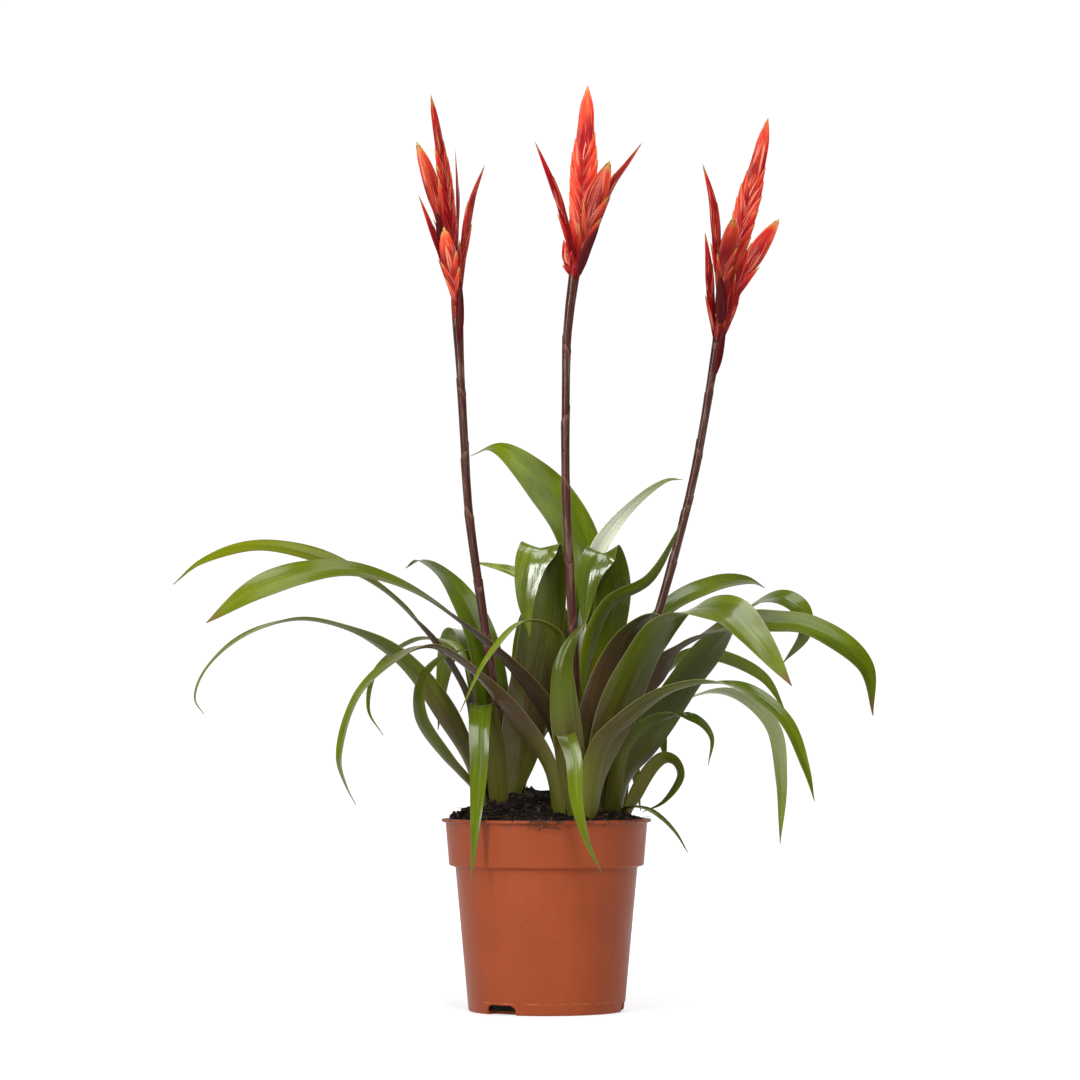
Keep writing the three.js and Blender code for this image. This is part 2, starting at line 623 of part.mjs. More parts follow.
// Each spike: the points its middle passes from base to tip, its widest place, how many bracts it has,
// and how far its flat side is turned from facing the front, in degrees. Shields are the dark bracts.
const HEADS = {
  left: {
    spikes: [
      {
        form: 'tall', width: 12, bracts: 8, turn: 50,
        path: [[-53, 4, 420], [-57, 4, 466], [-61, 4, 493], [-67, 4, 528]],
      },
      {
        form: 'blade', width: 9.6, bracts: 2, turn: 15,
        path: [[-53, 3, 420], [-61, -2, 455], [-68, -4, 480], [-75, -4, 499]],
      },
      {
        form: 'slim', width: 6.4, bracts: 2, turn: 40,
        path: [[-52, 4, 402], [-60, 1, 432], [-67, 0, 451], [-74, 0, 469]],
      },
      {
        form: 'blade', width: 9.5, bracts: 4, turn: 0,
        path: [[-51.5, 3, 399], [-54, -4, 420], [-57, -7, 436], [-59, -8, 449]],
      },
      {
        form: 'slim', width: 8.6, bracts: 3, turn: 50,
        path: [[-50.5, 4, 405], [-48, 5, 437], [-43, 4, 466], [-35.5, 4, 487]],
      },
      {
        form: 'slim', width: 7, bracts: 2, turn: 75,
        path: [[-52, 6, 424], [-51.5, 13, 467], [-53, 16, 498]],
      },
    ],
    shields: [
      { path: [[-56.5, 0.6, 433], [-61, -2.6, 446], [-62.8, -4.6, 459]], width: 5 },
      { path: [[-50.3, -0.8, 384], [-49.6, -1, 402], [-49.7, -2.4, 421]], width: 4.6 },
    ],
  },
  middle: {
    spikes: [
      {
        form: 'tall', width: 15, bracts: 9, turn: 0,
        path: [[17, -24, 422], [21, -24, 473], [23.6, -24, 528.3]],
      },
      {
        form: 'slim', width: 7.6, bracts: 2, turn: 40,
        path: [[16.5, -25, 420], [13.2, -27.5, 437], [7.5, -28, 460], [-0.5, -27, 481], [-6.8, -26, 496]],
      },
      {
        form: 'blade', width: 12.5, bracts: 4, turn: -20,
        path: [[16.5, -25, 417], [22, -32, 440], [29, -35, 464], [36, -37, 483]],
      },
      {
        form: 'slim', width: 8, bracts: 3, turn: 45,
        path: [[18, -22, 418], [36, -15, 470], [47, -12, 486], [55.5, -11, 498]],
      },
      {
        form: 'slim', width: 7.6, bracts: 2, turn: 10,
        path: [[15.8, -24.5, 416], [12.8, -27, 426], [9.6, -28.5, 439]],
      },
    ],
    shields: [
      { path: [[18.6, -30.6, 419], [23, -34.5, 432], [30.4, -38.6, 447]], width: 4.6 },
    ],
  },
  right: {
    spikes: [
      {
        form: 'tall', width: 13.5, bracts: 9, turn: -8,
        path: [[103, 14, 406], [115, 14, 458], [122.5, 14, 487], [129, 14, 515.8]],
      },
      {
        form: 'slim', width: 8.5, bracts: 2, turn: 35,
        path: [[101, 14, 405], [99, 13, 440], [96.5, 11, 466], [90.5, 11, 489]],
      },
      {
        form: 'slim', width: 7.5, bracts: 2, turn: 35,
        path: [[98, 14, 383], [95.5, 13, 408], [94, 12, 431], [92, 12, 449]],
      },
      {
        form: 'blade', width: 10, bracts: 4, turn: 0,
        path: [[101, 12, 398], [102, 6, 423], [105, 3, 439], [108, 2, 456]],
      },
      {
        form: 'blade', width: 11, bracts: 3, turn: -15,
        path: [[101, 14, 394], [113, 12, 420], [124, 10, 440], [135, 10, 456]],
      },
      {
        form: 'slim', width: 6, bracts: 2, turn: 35,
        path: [[98.5, 13, 379], [104, 13, 393], [109, 13, 406], [113.6, 13, 421]],
      },
    ],
    shields: [
      { path: [[101, 7.6, 395], [100.9, 4.4, 407], [100.4, 1.2, 423]], width: 7 },
      { path: [[97.5, 8.4, 366], [100.8, 8.2, 382], [103.4, 8.2, 395]], width: 5 },
    ],
  },
};

const COLLAR = { bottom: 6.2, middle: 6.6, upper: 6, top: 3.6, sides: 8 }; // widths from the stem upwards

const SHIELD = {
  stops: [[0, 0.5], [0.3, 1], [0.65, 0.8], [1, 0.08]], // [place, share of the widest]
  depth: 0.5, // thickness as a share of the width
  sides: 6,
};

const SPIKE = {
  depth: 0.32, // thickness as a share of the width
  thinnest: 0.7,
  bractDepth: 1.2, // a bract's thickness as a share of the body's
  body: 0.84, // the body's width as a share of the outline's
  bract: [[0, 0.45, 0.5], [0.45, 0.9, 0.9], [0.8, 1, 0.5], [1, 1, 0.04]], // [place, how far out, width]
  lowestTip: 0.42, // where the lowest bract ends, as a place along the spike
  highestTip: 0.72,
  bractReach: 26, // longest bract
  bractShare: 0.36, // a bract's length as a share of a short spike's
  point: 0.5, // how far a bract's tip stands out from the outline
};

// How wide each form of spike is along its length, from [place, share of its widest].
const OUTLINES = {
  tall: [
    [0, 0.34], [0.2, 0.72], [0.42, 0.97], [0.57, 1],
    [0.73, 0.7], [0.87, 0.56], [0.95, 0.3], [1, 0.05],
  ],
  blade: [[0, 0.3], [0.3, 0.7], [0.55, 0.97], [0.7, 1], [0.85, 0.78], [0.95, 0.42], [1, 0.08]],
  slim: [[0, 0.34], [0.2, 0.74], [0.42, 1], [0.62, 0.84], [0.8, 0.54], [0.93, 0.26], [1, 0.05]],
};

function widthShareAt(outline, place) {
  const next = Math.max(1, outline.findIndex(([at]) => at >= place));
  const [[from, before], [to, after]] = [outline[next - 1], outline[next]];
  return lerp(before, after, (place - from) / (to - from));
}

// A flat spike: a lance-shaped body with two ranks of boat-shaped bracts pressed to its edges.
function spikeSolid({ form, path, width, bracts, turn }) {
  const outline = OUTLINES[form];
  const curve = curveThrough(path);
  const sideways = new THREE.Vector3(Math.cos(radians(turn)), Math.sin(radians(turn)), 0);
  const body = outline.map(([place, size]) => {
    const wide = SPIKE.body * size * width;
    return [place, wide, Math.max(SPIKE.thinnest, SPIKE.depth * wide)];
  });
  const solids = [solidOf(barGeometry(curve, body, 4, sideways))];
  const length = Math.min(SPIKE.bractReach / curve.getLength(), SPIKE.bractShare);
  for (let k = 0; k < bracts; k++) {
    const end = lerp(SPIKE.lowestTip, SPIKE.highestTip, k / (bracts - 1));
    const start = Math.max(0, end - length);
    const side = (k % 2) * 2 - 1;
    const stops = SPIKE.bract.map(([v, keel, size]) => {
      const place = lerp(start, end, v);
      const local = (width / 2) * widthShareAt(outline, place);
      const edge = keel * local + SPIKE.point * smooth(v, 0.7, 1);
      const depth = SPIKE.bractDepth * SPIKE.depth * size * width;
      return [place, size * local, depth, side * (edge - (size * local) / 2)];
    });
    solids.push(solidOf(barGeometry(curve, stops, 4, sideways)));
  }
  return joined(solids);
}

// A dark boat-shaped bract that stands under a side spike.
function shieldGeometry({ path, width }, grow = 0) {
  const curve = curveThrough(path);
  const stops = SHIELD.stops.map(([place, size]) =>
    [place, size * width + 2 * grow, size * width * SHIELD.depth + 2 * grow]);
  return barGeometry(curve, stops, SHIELD.sides);
}

function headSolid({ spikes, shields }, stem) {
  const { collar, top } = stem;
  const { bottom, middle, upper } = COLLAR;
  const sections = [[collar, bottom], [top, middle], [(1 + top) / 2, upper], [1, COLLAR.top]];
  const stops = sections.map(([place, width]) => [place, width, width]);
  const axis = solidOf(barGeometry(curveThrough(stem.path), stops, COLLAR.sides));
  const red = joined([axis, ...spikes.map(spikeSolid)]);
  const cutters = shields.map((shield) => solidOf(shieldGeometry(shield, CLEARANCE)));
  return without(red, [solidOf(stemGeometry(stem, CLEARANCE)), ...cutters]);
}

// ---------------------------------------------------------------- assembly

const part = new THREE.Group();
addPiece(part, 'pot', geometryOf(makePot()), MATERIALS.pot);
addPiece(part, 'soil', geometryOf(makeSoil()), MATERIALS.soil);
for (const [name, stem] of Object.entries(STEMS)) {
  const head = HEADS[name];
  addPiece(part, `stem_${name}`, stemGeometry(stem), MATERIALS.stem);
  addPiece(part, `flower_${name}`, geometryOf(headSolid(head, stem)), MATERIALS.spike);
  head.shields.forEach((shield, i) => {
    addPiece(part, `bract_${name}_${i + 1}`, shieldGeometry(shield), MATERIALS.bract);
  });
}
for (const [name, spec] of Object.entries(LEAVES)) {
  addPiece(part, `leaf_${name}`, leafGeometry(spec), MATERIALS.leaf);
}

export default part;
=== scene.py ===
"""A flaming sword bromeliad in its nursery pot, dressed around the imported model.

Lengths in the tables are millimetres, in the same frame as the solids: origin at the middle of the pot's
underside, +Z up, -Y towards the viewer. Azimuths are degrees: 0 right, 90 back, 180 left, -90 front.
Places along a leaf, stem, spike or bract run from 0 at its foot to 1 at its tip.
"""
import math
import random
from types import SimpleNamespace as Table

import bmesh
import bpy
import numpy as np
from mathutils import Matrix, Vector, noise


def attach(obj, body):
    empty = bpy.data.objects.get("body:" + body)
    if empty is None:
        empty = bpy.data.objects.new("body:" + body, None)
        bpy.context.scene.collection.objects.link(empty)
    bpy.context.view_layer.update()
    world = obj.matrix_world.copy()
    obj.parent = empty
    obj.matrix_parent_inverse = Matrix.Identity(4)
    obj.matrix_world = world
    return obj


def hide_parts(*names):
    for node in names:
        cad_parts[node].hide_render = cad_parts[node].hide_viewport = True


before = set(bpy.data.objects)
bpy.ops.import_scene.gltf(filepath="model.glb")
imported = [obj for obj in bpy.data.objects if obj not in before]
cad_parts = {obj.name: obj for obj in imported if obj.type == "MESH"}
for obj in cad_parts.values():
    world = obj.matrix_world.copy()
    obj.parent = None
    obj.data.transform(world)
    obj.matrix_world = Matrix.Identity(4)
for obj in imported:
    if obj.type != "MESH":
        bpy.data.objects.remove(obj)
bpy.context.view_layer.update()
MM = 0.001
random.seed(7)

# ------------------------------------------------------------------ tables

# Counts of rings, sides and crumbs, some of them lower for a quick export.
LEAF_RINGS, LEAF_STRIPS = ((84, 14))
STEM_SIDES = 28
COLLAR_RINGS, COLLAR_SIDES = 26, 20
CORE_RINGS, CORE_SIDES = 30, 12
BRACT_RINGS, BRACT_SIDES = ((16, 16))
SOIL_RINGS, SOIL_SIDES = ((110, 260))
CRUMBS, FIBRES = ((900, 110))

POT = Table(
    height=109.5, lip=60, lip_drop=2.2, band_top=57.7, band_bottom=55.7, band_z=83, body_top=52.1,
    foot=44.6, bevel=0.8, wall=1.6, floor=1.8, corner=0.7, corner_points=5, sides=216, sharp=35,
)
# Drain notches: azimuth of the first, radius where they start, and one half of their arch as (x, z).
DRAIN = Table(count=3, azimuth=-125.5, inner=36, arch=[(9.75, -1), (9.75, 2.8), (8.97, 4.48), (7.02, 5.6)])
SOIL = Table(
    level=112, mound=14.5, x=-13, y=12, reach=31, lumps=0.9, rim_drop=3, sink=0.4, gap=0.35, foot=2.2,
)
ROUGH = [(0.11, 1.3), (0.27, 0.8), (0.6, 0.45), (1.3, 0.25)]  # layers of its roughness: scale, height
CRUMB_SIZES = (0.5, 0.7, 0.9, 1.2, 1.7)
# Crumbs on the lip and spilt down the front of the rim, with a few bits of root.
SPILL = Table(azimuth=-92, on_lip=60, on_rim=70, fibres=14)
FIBRE = Table(radius=0.28, steps=4, rings=14, sides=5)

HUBS = dict(left=(-27, 4), middle=(16, -24), right=(33, 14))
# Leaf bases: foot, upright rise, radius of the inmost, step from layer to layer, half angle of the clasp.
SHEATH = Table(base=96, rise=10, inner=5.6, step=2.2, angle=0.72)
# Blades: thickness in the middle and at the edges, waves of the edges, groove along the middle, and how
# much closer rings stand in a bend.
BLADE = Table(thick=0.85, edge=0.4, ripple=0.35, wave=9, groove=0.25, groove_width=0.16, bend_weight=26)
LEAF_LOOK = ("purple", "yellow", "bright", "dry", "gloss")

# Stems: radius at the foot and at the tip, growth towards the collar, how the sheaths overlap, slant and
# turn from one to the next, and their fluting. COLLAR is the red collar's radius from its start to its end.
STEM = Table(foot=2.75, tip=2.2, growth=0.6, overlap=4, tuck=0.004, slant=0.018, spiral=2.4, flutes=0.06)
COLLAR = (3.1, 3.3, 3, 1.8)
# Swelling of one sheath, as (place, mm).
SWELL = [
    (0, -0.3), (0.03, 0), (0.25, 0.02), (0.6, 0.08), (0.85, 0.2), (0.95, 0.3), (1, 0.34), (1, 0.2),
    (0.97, -0.1),
]

# Flower spikes: depth as a share of width, and the width of each form as (place, share of its widest).
SPIKE_DEPTH = 0.32
OUTLINES = dict(
    tall=[(0, 0.34), (0.2, 0.72), (0.42, 0.97), (0.57, 1), (0.73, 0.7), (0.87, 0.56), (0.95, 0.3), (1, 0.05)],
    blade=[(0, 0.3), (0.3, 0.7), (0.55, 0.97), (0.7, 1), (0.85, 0.78), (0.95, 0.42), (1, 0.08)],
    slim=[(0, 0.34), (0.2, 0.74), (0.42, 1), (0.62, 0.84), (0.8, 0.54), (0.93, 0.26), (1, 0.05)],
)
# Bracts of a tall spike and of the side spikes: length, places where the first and the last one end, and
# places where the two closed ones at the tip start.
TALL = Table(length=27, first=0.27, last=0.75, closed=(0.55, 0.6))
SIDE = Table(length=32, first=0.45, last=0.72, closed=(0.4, 0.45))
# Profiles along a bract: place, how far its keel stands out, its width and its thickness.
SCALE = [
    (0, 0.4, 0.5, 0.35), (0.25, 0.72, 1.0, 0.7), (0.5, 0.93, 0.98, 0.95), (0.7, 1, 0.66, 1),
    (0.88, 1, 0.3, 0.65), (1, 1, 0.03, 0.06),
]
CLOSED = [
    (0, 0.4, 0.6, 0.5), (0.3, 0.95, 1.3, 0.9), (0.6, 0.98, 1.45, 0.9), (0.85, 0.9, 1.35, 0.7),
    (1, 0.3, 0.3, 0.1),
]
SHIELD = [(0, 0.5), (0.3, 1), (0.65, 0.8), (1, 0.06)]  # width of a dark bract: place, share of its widest

# Each leaf: azimuth, layer of the rosette from the inside out, width, look, what sets its form apart (a
# twist is of (place, degrees)), and path as (reach along the azimuth, height, sideways sway). look is how
# far it is purple from the base, how yellow its end is, how bright it is, how dry its tip is, and its gloss;
# a gloss above 1.5 also paints a pale sheen over the leaf, a painted reflection of the light.
LEAVES = dict(
    left=[
        (170, 2, 12, (0.62, 0.95, 0.72, 0.2, 0.1), dict(wrap=0.8, shoulder=0.75,
              twist=[(0.05, 0), (0.2, 32), (0.36, 28), (0.5, 0), (0.7, -40), (1, -45)]),
         [(15, 150), (21, 183), (59, 233), (95, 256), (142, 267), (177, 258), (194, 245)]),
        (204, 3, 17, (0.36, 0.25, 1.08, 0.2, 0.35), dict(wrap=0.95, twist=[(0.1, 0), (0.3, 30), (0.6, 0)]),
         [(20, 143), (51, 191), (79, 211), (122, 222), (158, 211), (179, 192), (184, 177), (179, 169)]),
        (122, 0, 23, (0.15, 0.1, 0.78, 0.3, 0.2), {},
         [(7, 150), (12, 189), (21, 212), (38, 233), (60, 250), (92, 261), (108, 257)]),
        (150, 1, 11, (0.1, 0.9, 1.2, 0.5, 0.6), dict(wrap=0.7),
         [(12, 150), (17, 185), (25, 205), (40, 212), (57, 212), (83, 196), (89, 172), (79, 157)]),
        (222, 4, 12, (0.35, 0.1, 0.8, 0.2, 0.7), dict(wrap=0.35, widest=0.4),
         [(17, 124), (28, 134), (41, 145), (60, 168), (59, 189), (41, 203), (15, 207)]),
        (-92, 2, 13, (0.42, 0.15, 0.86, 0.2, 0.35), dict(wrap=0.7, shoulder=0.45),
         [(13, 125), (26, 160, -4), (39, 174, -8), (48, 164, -9), (54, 140, -9), (57, 105, -11),
          (57, 76, -13)]),
        (22, 0, 10, (0.3, 0.1, 0.65, 0.3, 0.6), dict(wrap=0.6),
         [(7, 143), (9, 177), (11, 212), (17, 229), (24, 221), (26, 205)]),
        (-78, 0, 25.5, (0.5, 0.15, 1.0, 0.2, 1.5), dict(keel=0.15, shoulder=0.66),
         [(7, 145, 10), (9, 177, 15), (11, 211, 21.5), (13, 240, 24), (16, 258, 22.5), (22, 264, 19.5),
          (29, 256, 12.5), (33, 236, 8.5), (34, 213, 10.5)]),
        (105.5, 3, 22, (0.2, 0.2, 1.2, 0.3, 0.8), dict(wrap=0.8, widest=0.4),
         [(16, 140), (30, 180), (60, 214), (100, 218), (130, 196), (146, 160)]),
        (46, 4, 20, (0.3, 0.2, 0.9, 0.3, 0.8), dict(wrap=0.85),
         [(15, 129), (34, 160), (62, 176), (92, 168), (112, 142), (120, 112)]),
    ],
    middle=[
        (198, 1, 15.5, (0.62, 0.5, 0.83, 0.6, 0.2),
         dict(shoulder=0.86, twist=[(0.1, 0), (0.25, 30), (0.42, 0), (0.62, -25), (0.85, -58), (1, -55)]),
         [(12, 160), (26, 183), (62, 216), (96, 238), (131, 249), (159, 247), (185, 238), (214, 219)]),
        (208, 3, 15, (0.65, 0.25, 0.92, 0.2, 0.7),
         dict(wrap=0.95, shoulder=0.6, twist=[(0.12, 0), (0.26, 20), (0.45, 0)]),
         [(18, 140), (45, 175), (76, 200), (92, 206), (107, 202), (135, 180), (147, 145), (143, 130),
          (137, 119)]),
        (222, 0, 6, (0.1, 0.2, 1.1, 0.2, 0.8), dict(wrap=0.4, shoulder=0.7),
         [(6, 150), (6, 190), (12, 214), (38, 221), (65, 201), (86, 170)]),
        (-100, 2, 18, (0.55, 0.0, 0.85, 0.2, 0.7), dict(widest=0.6),
         [(15, 140, 0), (20, 175, -3), (21, 197, -3), (19, 211, 2), (15, 222, 9)]),
        (-94, 3, 10.5, (0.52, 0.4, 0.8, 0.6, 0.35), dict(wrap=0.22, widest=0.45, shoulder=0.45),
         [(17, 130, -4), (28, 152, -5), (38, 157, -3), (45, 145, 2), (49, 121, 4), (50, 98, 10),
          (48, 81, 18)]),
        (-30, 1, 26, (0.85, 0.0, 1.1, 0.2, 0.6),
         dict(keel=0.25, widest=0.5, twist=[(0.15, 0), (0.4, -35), (0.75, -25), (1, 0)]),
         [(10, 140), (20, 182), (30, 207), (41, 220), (52, 225), (61, 221)]),
        (-37, 3, 27, (0.42, 0.28, 0.92, 0.9, 0.8),
         dict(keel=0.3, widest=0.5, shoulder=0.72, twist=[(0.12, 0), (0.3, -32), (0.5, -12), (0.75, 30)]),
         [(18, 140), (36, 182), (62, 217), (81, 227), (106, 225), (122, 212), (147, 184)]),
        (-12.5, 2, 19, (0.65, 0.1, 0.82, 0.7, 0.25), dict(wrap=0.7, widest=0.45, shoulder=0.8,
              twist=[(0.12, 0), (0.25, -45), (0.38, -45), (0.48, 0), (0.62, 40), (1, 35)]),
         [(18, 145), (34, 178), (45, 190), (60, 205), (79, 215), (95, 220), (115, 220), (135, 217.5),
          (165, 196), (170, 168)]),
        (-60, 4, 14, (0.45, 0.1, 1.05, 0.3, 0.5), dict(wrap=0.7, widest=0.4, shoulder=0.65),
         [(19, 134), (25, 152, 3), (35, 163, 9), (59, 182, 27), (90, 185, 48), (116, 166, 65), (127, 139, 72),
          (131, 121, 75)]),
        (6, 0, 11, (0.15, 0.1, 1.25, 0.5, 0.8),
         dict(wrap=0.5, widest=0.55, shoulder=0.6, twist=[(0.3, 0), (0.55, -50), (1, -50)]),
         [(7, 150), (8, 205), (20, 232), (43, 246), (63, 281)]),
    ],
    right=[
        (38, 0, 14, (0.2, 0.2, 0.85, 0.3, 0.6), dict(wrap=0.7, shoulder=0.85, twist=[(0.5, 0), (0.8, 35)]),
         [(10, 150), (27, 206), (50, 232), (88, 247), (112, 249), (124, 245)]),
        (-22, 2, 25, (0.22, 0.2, 0.68, 0.3, 0.5), dict(keel=0.35, widest=0.36, shoulder=0.55,
              twist=[(0.08, 0), (0.25, -35), (0.5, -30), (0.7, 10), (0.85, 45), (1, 45)]),
         [(14, 134), (27, 154), (60, 199), (92, 231), (108, 235), (120, 228), (122, 215), (109, 198)]),
        (20, 1, 11, (0.3, 0.1, 1.3, 0.3, 0.6),
         dict(wrap=0.6, shoulder=0.7, twist=[(0.3, 0), (0.5, -40), (1, -40)]),
         [(10, 140), (23, 172), (47, 201), (66, 204), (100, 191), (115, 170)]),
        (34, 3, 9, (0.2, 0.3, 2.0, 0.3, 1.9),
         dict(wrap=0.5, shoulder=0.75, twist=[(0.4, 0), (0.65, -40), (1, -40)]),
         [(17, 136), (48, 173), (91, 182), (122, 163), (129, 131), (128, 92)]),
        (-70, 3, 10.5, (0.35, 0.0, 0.75, 0.4, 0.45), dict(wrap=0.5, widest=0.35, shoulder=0.35),
         [(19, 128), (30, 148), (40, 162, 9), (46, 168, 22), (49, 166, 38), (49, 156, 47), (49, 140, 45)]),
        (-14, 4, 9, (0.4, 0.0, 1.15, 0.3, 0.6),
         dict(wrap=0.4, shoulder=0.5, twist=[(0.1, 0), (0.3, -55), (0.75, -50), (1, -20)]),
         [(17, 118), (29, 139), (36, 144), (42, 142), (45, 134), (35, 119), (23, 113)]),
        (-50, 4, 5, (0.1, 0.2, 0.75, 0.4, 0.6), dict(wrap=0.4),
         [(16, 113), (21, 116, 1), (33, 115, 4), (45, 109, 6), (54, 101, 8), (62, 91, 9)]),
        (-76, 0, 21, (0.3, 0.1, 1.0, 0.2, 1.5), dict(keel=0.15, widest=0.5, shoulder=0.7),
         [(9, 150, 1), (13, 206, -2), (18, 242, 1), (24, 261, -6), (31, 250, -16), (34, 216, -21)]),
        (128, 0, 25, (0.1, 0.15, 1.02, 0.3, 0.1),
         dict(widest=0.5, shoulder=0.75, twist=[(0.35, 0), (0.6, -35), (1, -25)]),
         [(8, 150, -1), (15, 210, -2), (22, 253, -4), (34, 279, -4), (66, 313, 3), (90, 328, 10),
          (108, 324, 15)]),
        (200, 1, 14, (0.1, 0.3, 1.3, 0.2, 3.0), dict(wrap=0.7, twist=[(0.5, 0), (0.7, -75), (1, -60)]),
         [(12, 150, -2), (14, 190, -1), (13, 230, -2), (7, 253, -5), (-3, 271, -8), (-28, 295, -16),
          (-49, 307, -23), (-61, 308, -29)]),
        (166, 3, 15, (0.1, 0.35, 1.3, 0.4, 0.8), dict(wrap=0.6, twist=[(0.5, 0), (0.66, -60), (1, -65)]),
         [(16, 150, 0), (19, 190, 2), (24, 220, 4), (36, 243, 3), (53, 252, 1), (68, 256, 0), (80, 258, 0)]),
        (95, 3, 23, (0.2, 0.2, 0.95, 0.3, 0.8), dict(wrap=0.85),
         [(15, 140), (30, 184), (62, 214), (98, 212), (126, 184), (138, 146)]),
        (66, 4, 20, (0.3, 0.2, 0.9, 0.3, 0.8), {},
         [(17, 130), (34, 158), (60, 174), (84, 162), (96, 140)]),
    ],
)

# Each flower's axis from the soil to the tip of its main spike, how many sheaths wrap the stem, and
# where the red collar starts and the stem ends inside it, as places along the axis.
STEMS = dict(
    left=dict(sheaths=8, collar=0.886, top=0.925, path=[
        (-27, 4, 96), (-27, 4, 143), (-31, 4, 189), (-37, 4, 230), (-44.8, 4, 287), (-47.7, 4, 333),
        (-50.2, 4, 376), (-53, 4, 430),
    ]),
    middle=dict(sheaths=8, collar=0.965, top=0.985, path=[
        (16, -24, 96), (16, -24, 177), (15, -24, 211), (11, -24, 300), (11, -24, 348), (12, -24, 388),
        (17, -24, 428),
    ]),
    right=dict(sheaths=9, collar=0.895, top=0.935, path=[
        (33, 14, 96), (37, 14, 154), (54, 14, 195), (66, 14, 232), (85, 14, 305), (97, 14, 372),
        (105, 14, 420),
    ]),
)

# Spikes: form, width, how many bracts, how far the flat side is turned, look, and path from base to tip.
# look is how orange it is (0 crimson), how yellow its tips are, and how bright. Shields are the dark
# bracts under side spikes: width and path.
SPIKES = dict(
    left=[
        ("tall", 12, 12, 50, (0.1, 0.9, 0.9), [(-53, 4, 420), (-57, 4, 466), (-61, 4, 493), (-67, 4, 528)]),
        ("blade", 9.6, 2, 15, (0.95, 1, 0.82),
         [(-53, 3, 420), (-61, -2, 455), (-68, -4, 480), (-75, -4, 499)]),
        ("slim", 6.4, 2, 40, (0.3, 0.8, 0.9), [(-52, 4, 402), (-60, 1, 432), (-67, 0, 451), (-74, 0, 469)]),
        ("blade", 9.5, 4, 0, (1.0, 1, 0.95),
         [(-51.5, 3, 399), (-54, -4, 420), (-57, -7, 436), (-59, -8, 449)]),
        ("slim", 8.6, 3, 50, (0.1, 0.7, 0.85),
         [(-50.5, 4, 405), (-48, 5, 437), (-43, 4, 466), (-35.5, 4, 487)]),
        ("slim", 7, 2, 75, (0.1, 0.3, 0.9), [(-52, 6, 424), (-51.5, 13, 467), (-53, 16, 498)]),
    ],
    middle=[
        ("tall", 15, 14, 0, (0.7, 0.3, 1.25), [(17, -24, 422), (21, -24, 473), (23.6, -24, 528.3)]),
        ("slim", 7.6, 2, 40, (0.05, 0.4, 0.85),
         [(16.5, -25, 420), (13.2, -27.5, 437), (7.5, -28, 460), (-0.5, -27, 481), (-6.8, -26, 496)]),
        ("blade", 12.5, 4, -20, (0.9, 0.9, 0.68),
         [(16.5, -25, 417), (22, -32, 440), (29, -35, 464), (36, -37, 483)]),
        ("slim", 8, 3, 45, (0.3, 0.6, 0.85),
         [(18, -22, 418), (36, -15, 470), (47, -12, 486), (55.5, -11, 498)]),
        ("slim", 7.6, 2, 10, (0.3, 0.4, 1.0), [(15.8, -24.5, 416), (12.8, -27, 426), (9.6, -28.5, 439)]),
    ],
    right=[
        ("tall", 13.5, 14, -8, (0.5, 0.3, 1.0),
         [(103, 14, 406), (115, 14, 458), (122.5, 14, 487), (129, 14, 515.8)]),
        ("slim", 8.5, 2, 35, (0.15, 0.8, 0.85),
         [(101, 14, 405), (99, 13, 440), (96.5, 11, 466), (90.5, 11, 489)]),
        ("slim", 7.5, 2, 35, (0.15, 0.8, 0.85),
         [(98, 14, 383), (95.5, 13, 408), (94, 12, 431), (92, 12, 449)]),
        ("blade", 10, 4, 0, (0.75, 0.9, 0.58), [(101, 12, 398), (102, 6, 423), (105, 3, 439), (108, 2, 456)]),
        ("blade", 11, 3, -15, (0.35, 0.8, 0.85),
         [(101, 14, 394), (113, 12, 420), (124, 10, 440), (135, 10, 456)]),
        ("slim", 6, 2, 35, (0.4, 0.8, 0.9),
         [(98.5, 13, 379), (104, 13, 393), (109, 13, 406), (113.6, 13, 421)]),
    ],
)
SHIELDS = dict(
    left=[
        (5, [(-56.5, 0.6, 433), (-61, -2.6, 446), (-62.8, -4.6, 459)]),
        (4.6, [(-50.3, -0.8, 384), (-49.6, -1, 402), (-49.7, -2.4, 421)]),
    ],
    middle=[
        (4.6, [(18.6, -30.6, 419), (23, -34.5, 432), (30.4, -38.6, 447)]),
    ],
    right=[
        (7, [(101, 7.6, 395), (100.9, 4.4, 407), (100.4, 1.2, 423)]),
        (5, [(97.5, 8.4, 366), (100.8, 8.2, 382), (103.4, 8.2, 395)]),
    ],
)


# ------------------------------------------------------------------ curves and meshes


def lerp(a, b, t):
    return a + (b - a) * t


def smooth(x, low, high):
    t = np.clip((np.asarray(x, float) - low) / (high - low), 0, 1)
    return t * t * (3 - 2 * t)


def unit(v):
    return v / np.linalg.norm(v, axis=-1, keepdims=True)


def heading(degrees):
    """Cosine and sine of an angle in degrees."""
    turn = math.radians(degrees)
    return math.cos(turn), math.sin(turn)


def polar(radius, turn, height):
    return radius * math.cos(turn), radius * math.sin(turn), height


def full_turn(count):
    """Angles of count points evenly round a circle."""
    return np.linspace(0, 2 * math.pi, count, endpoint=False)


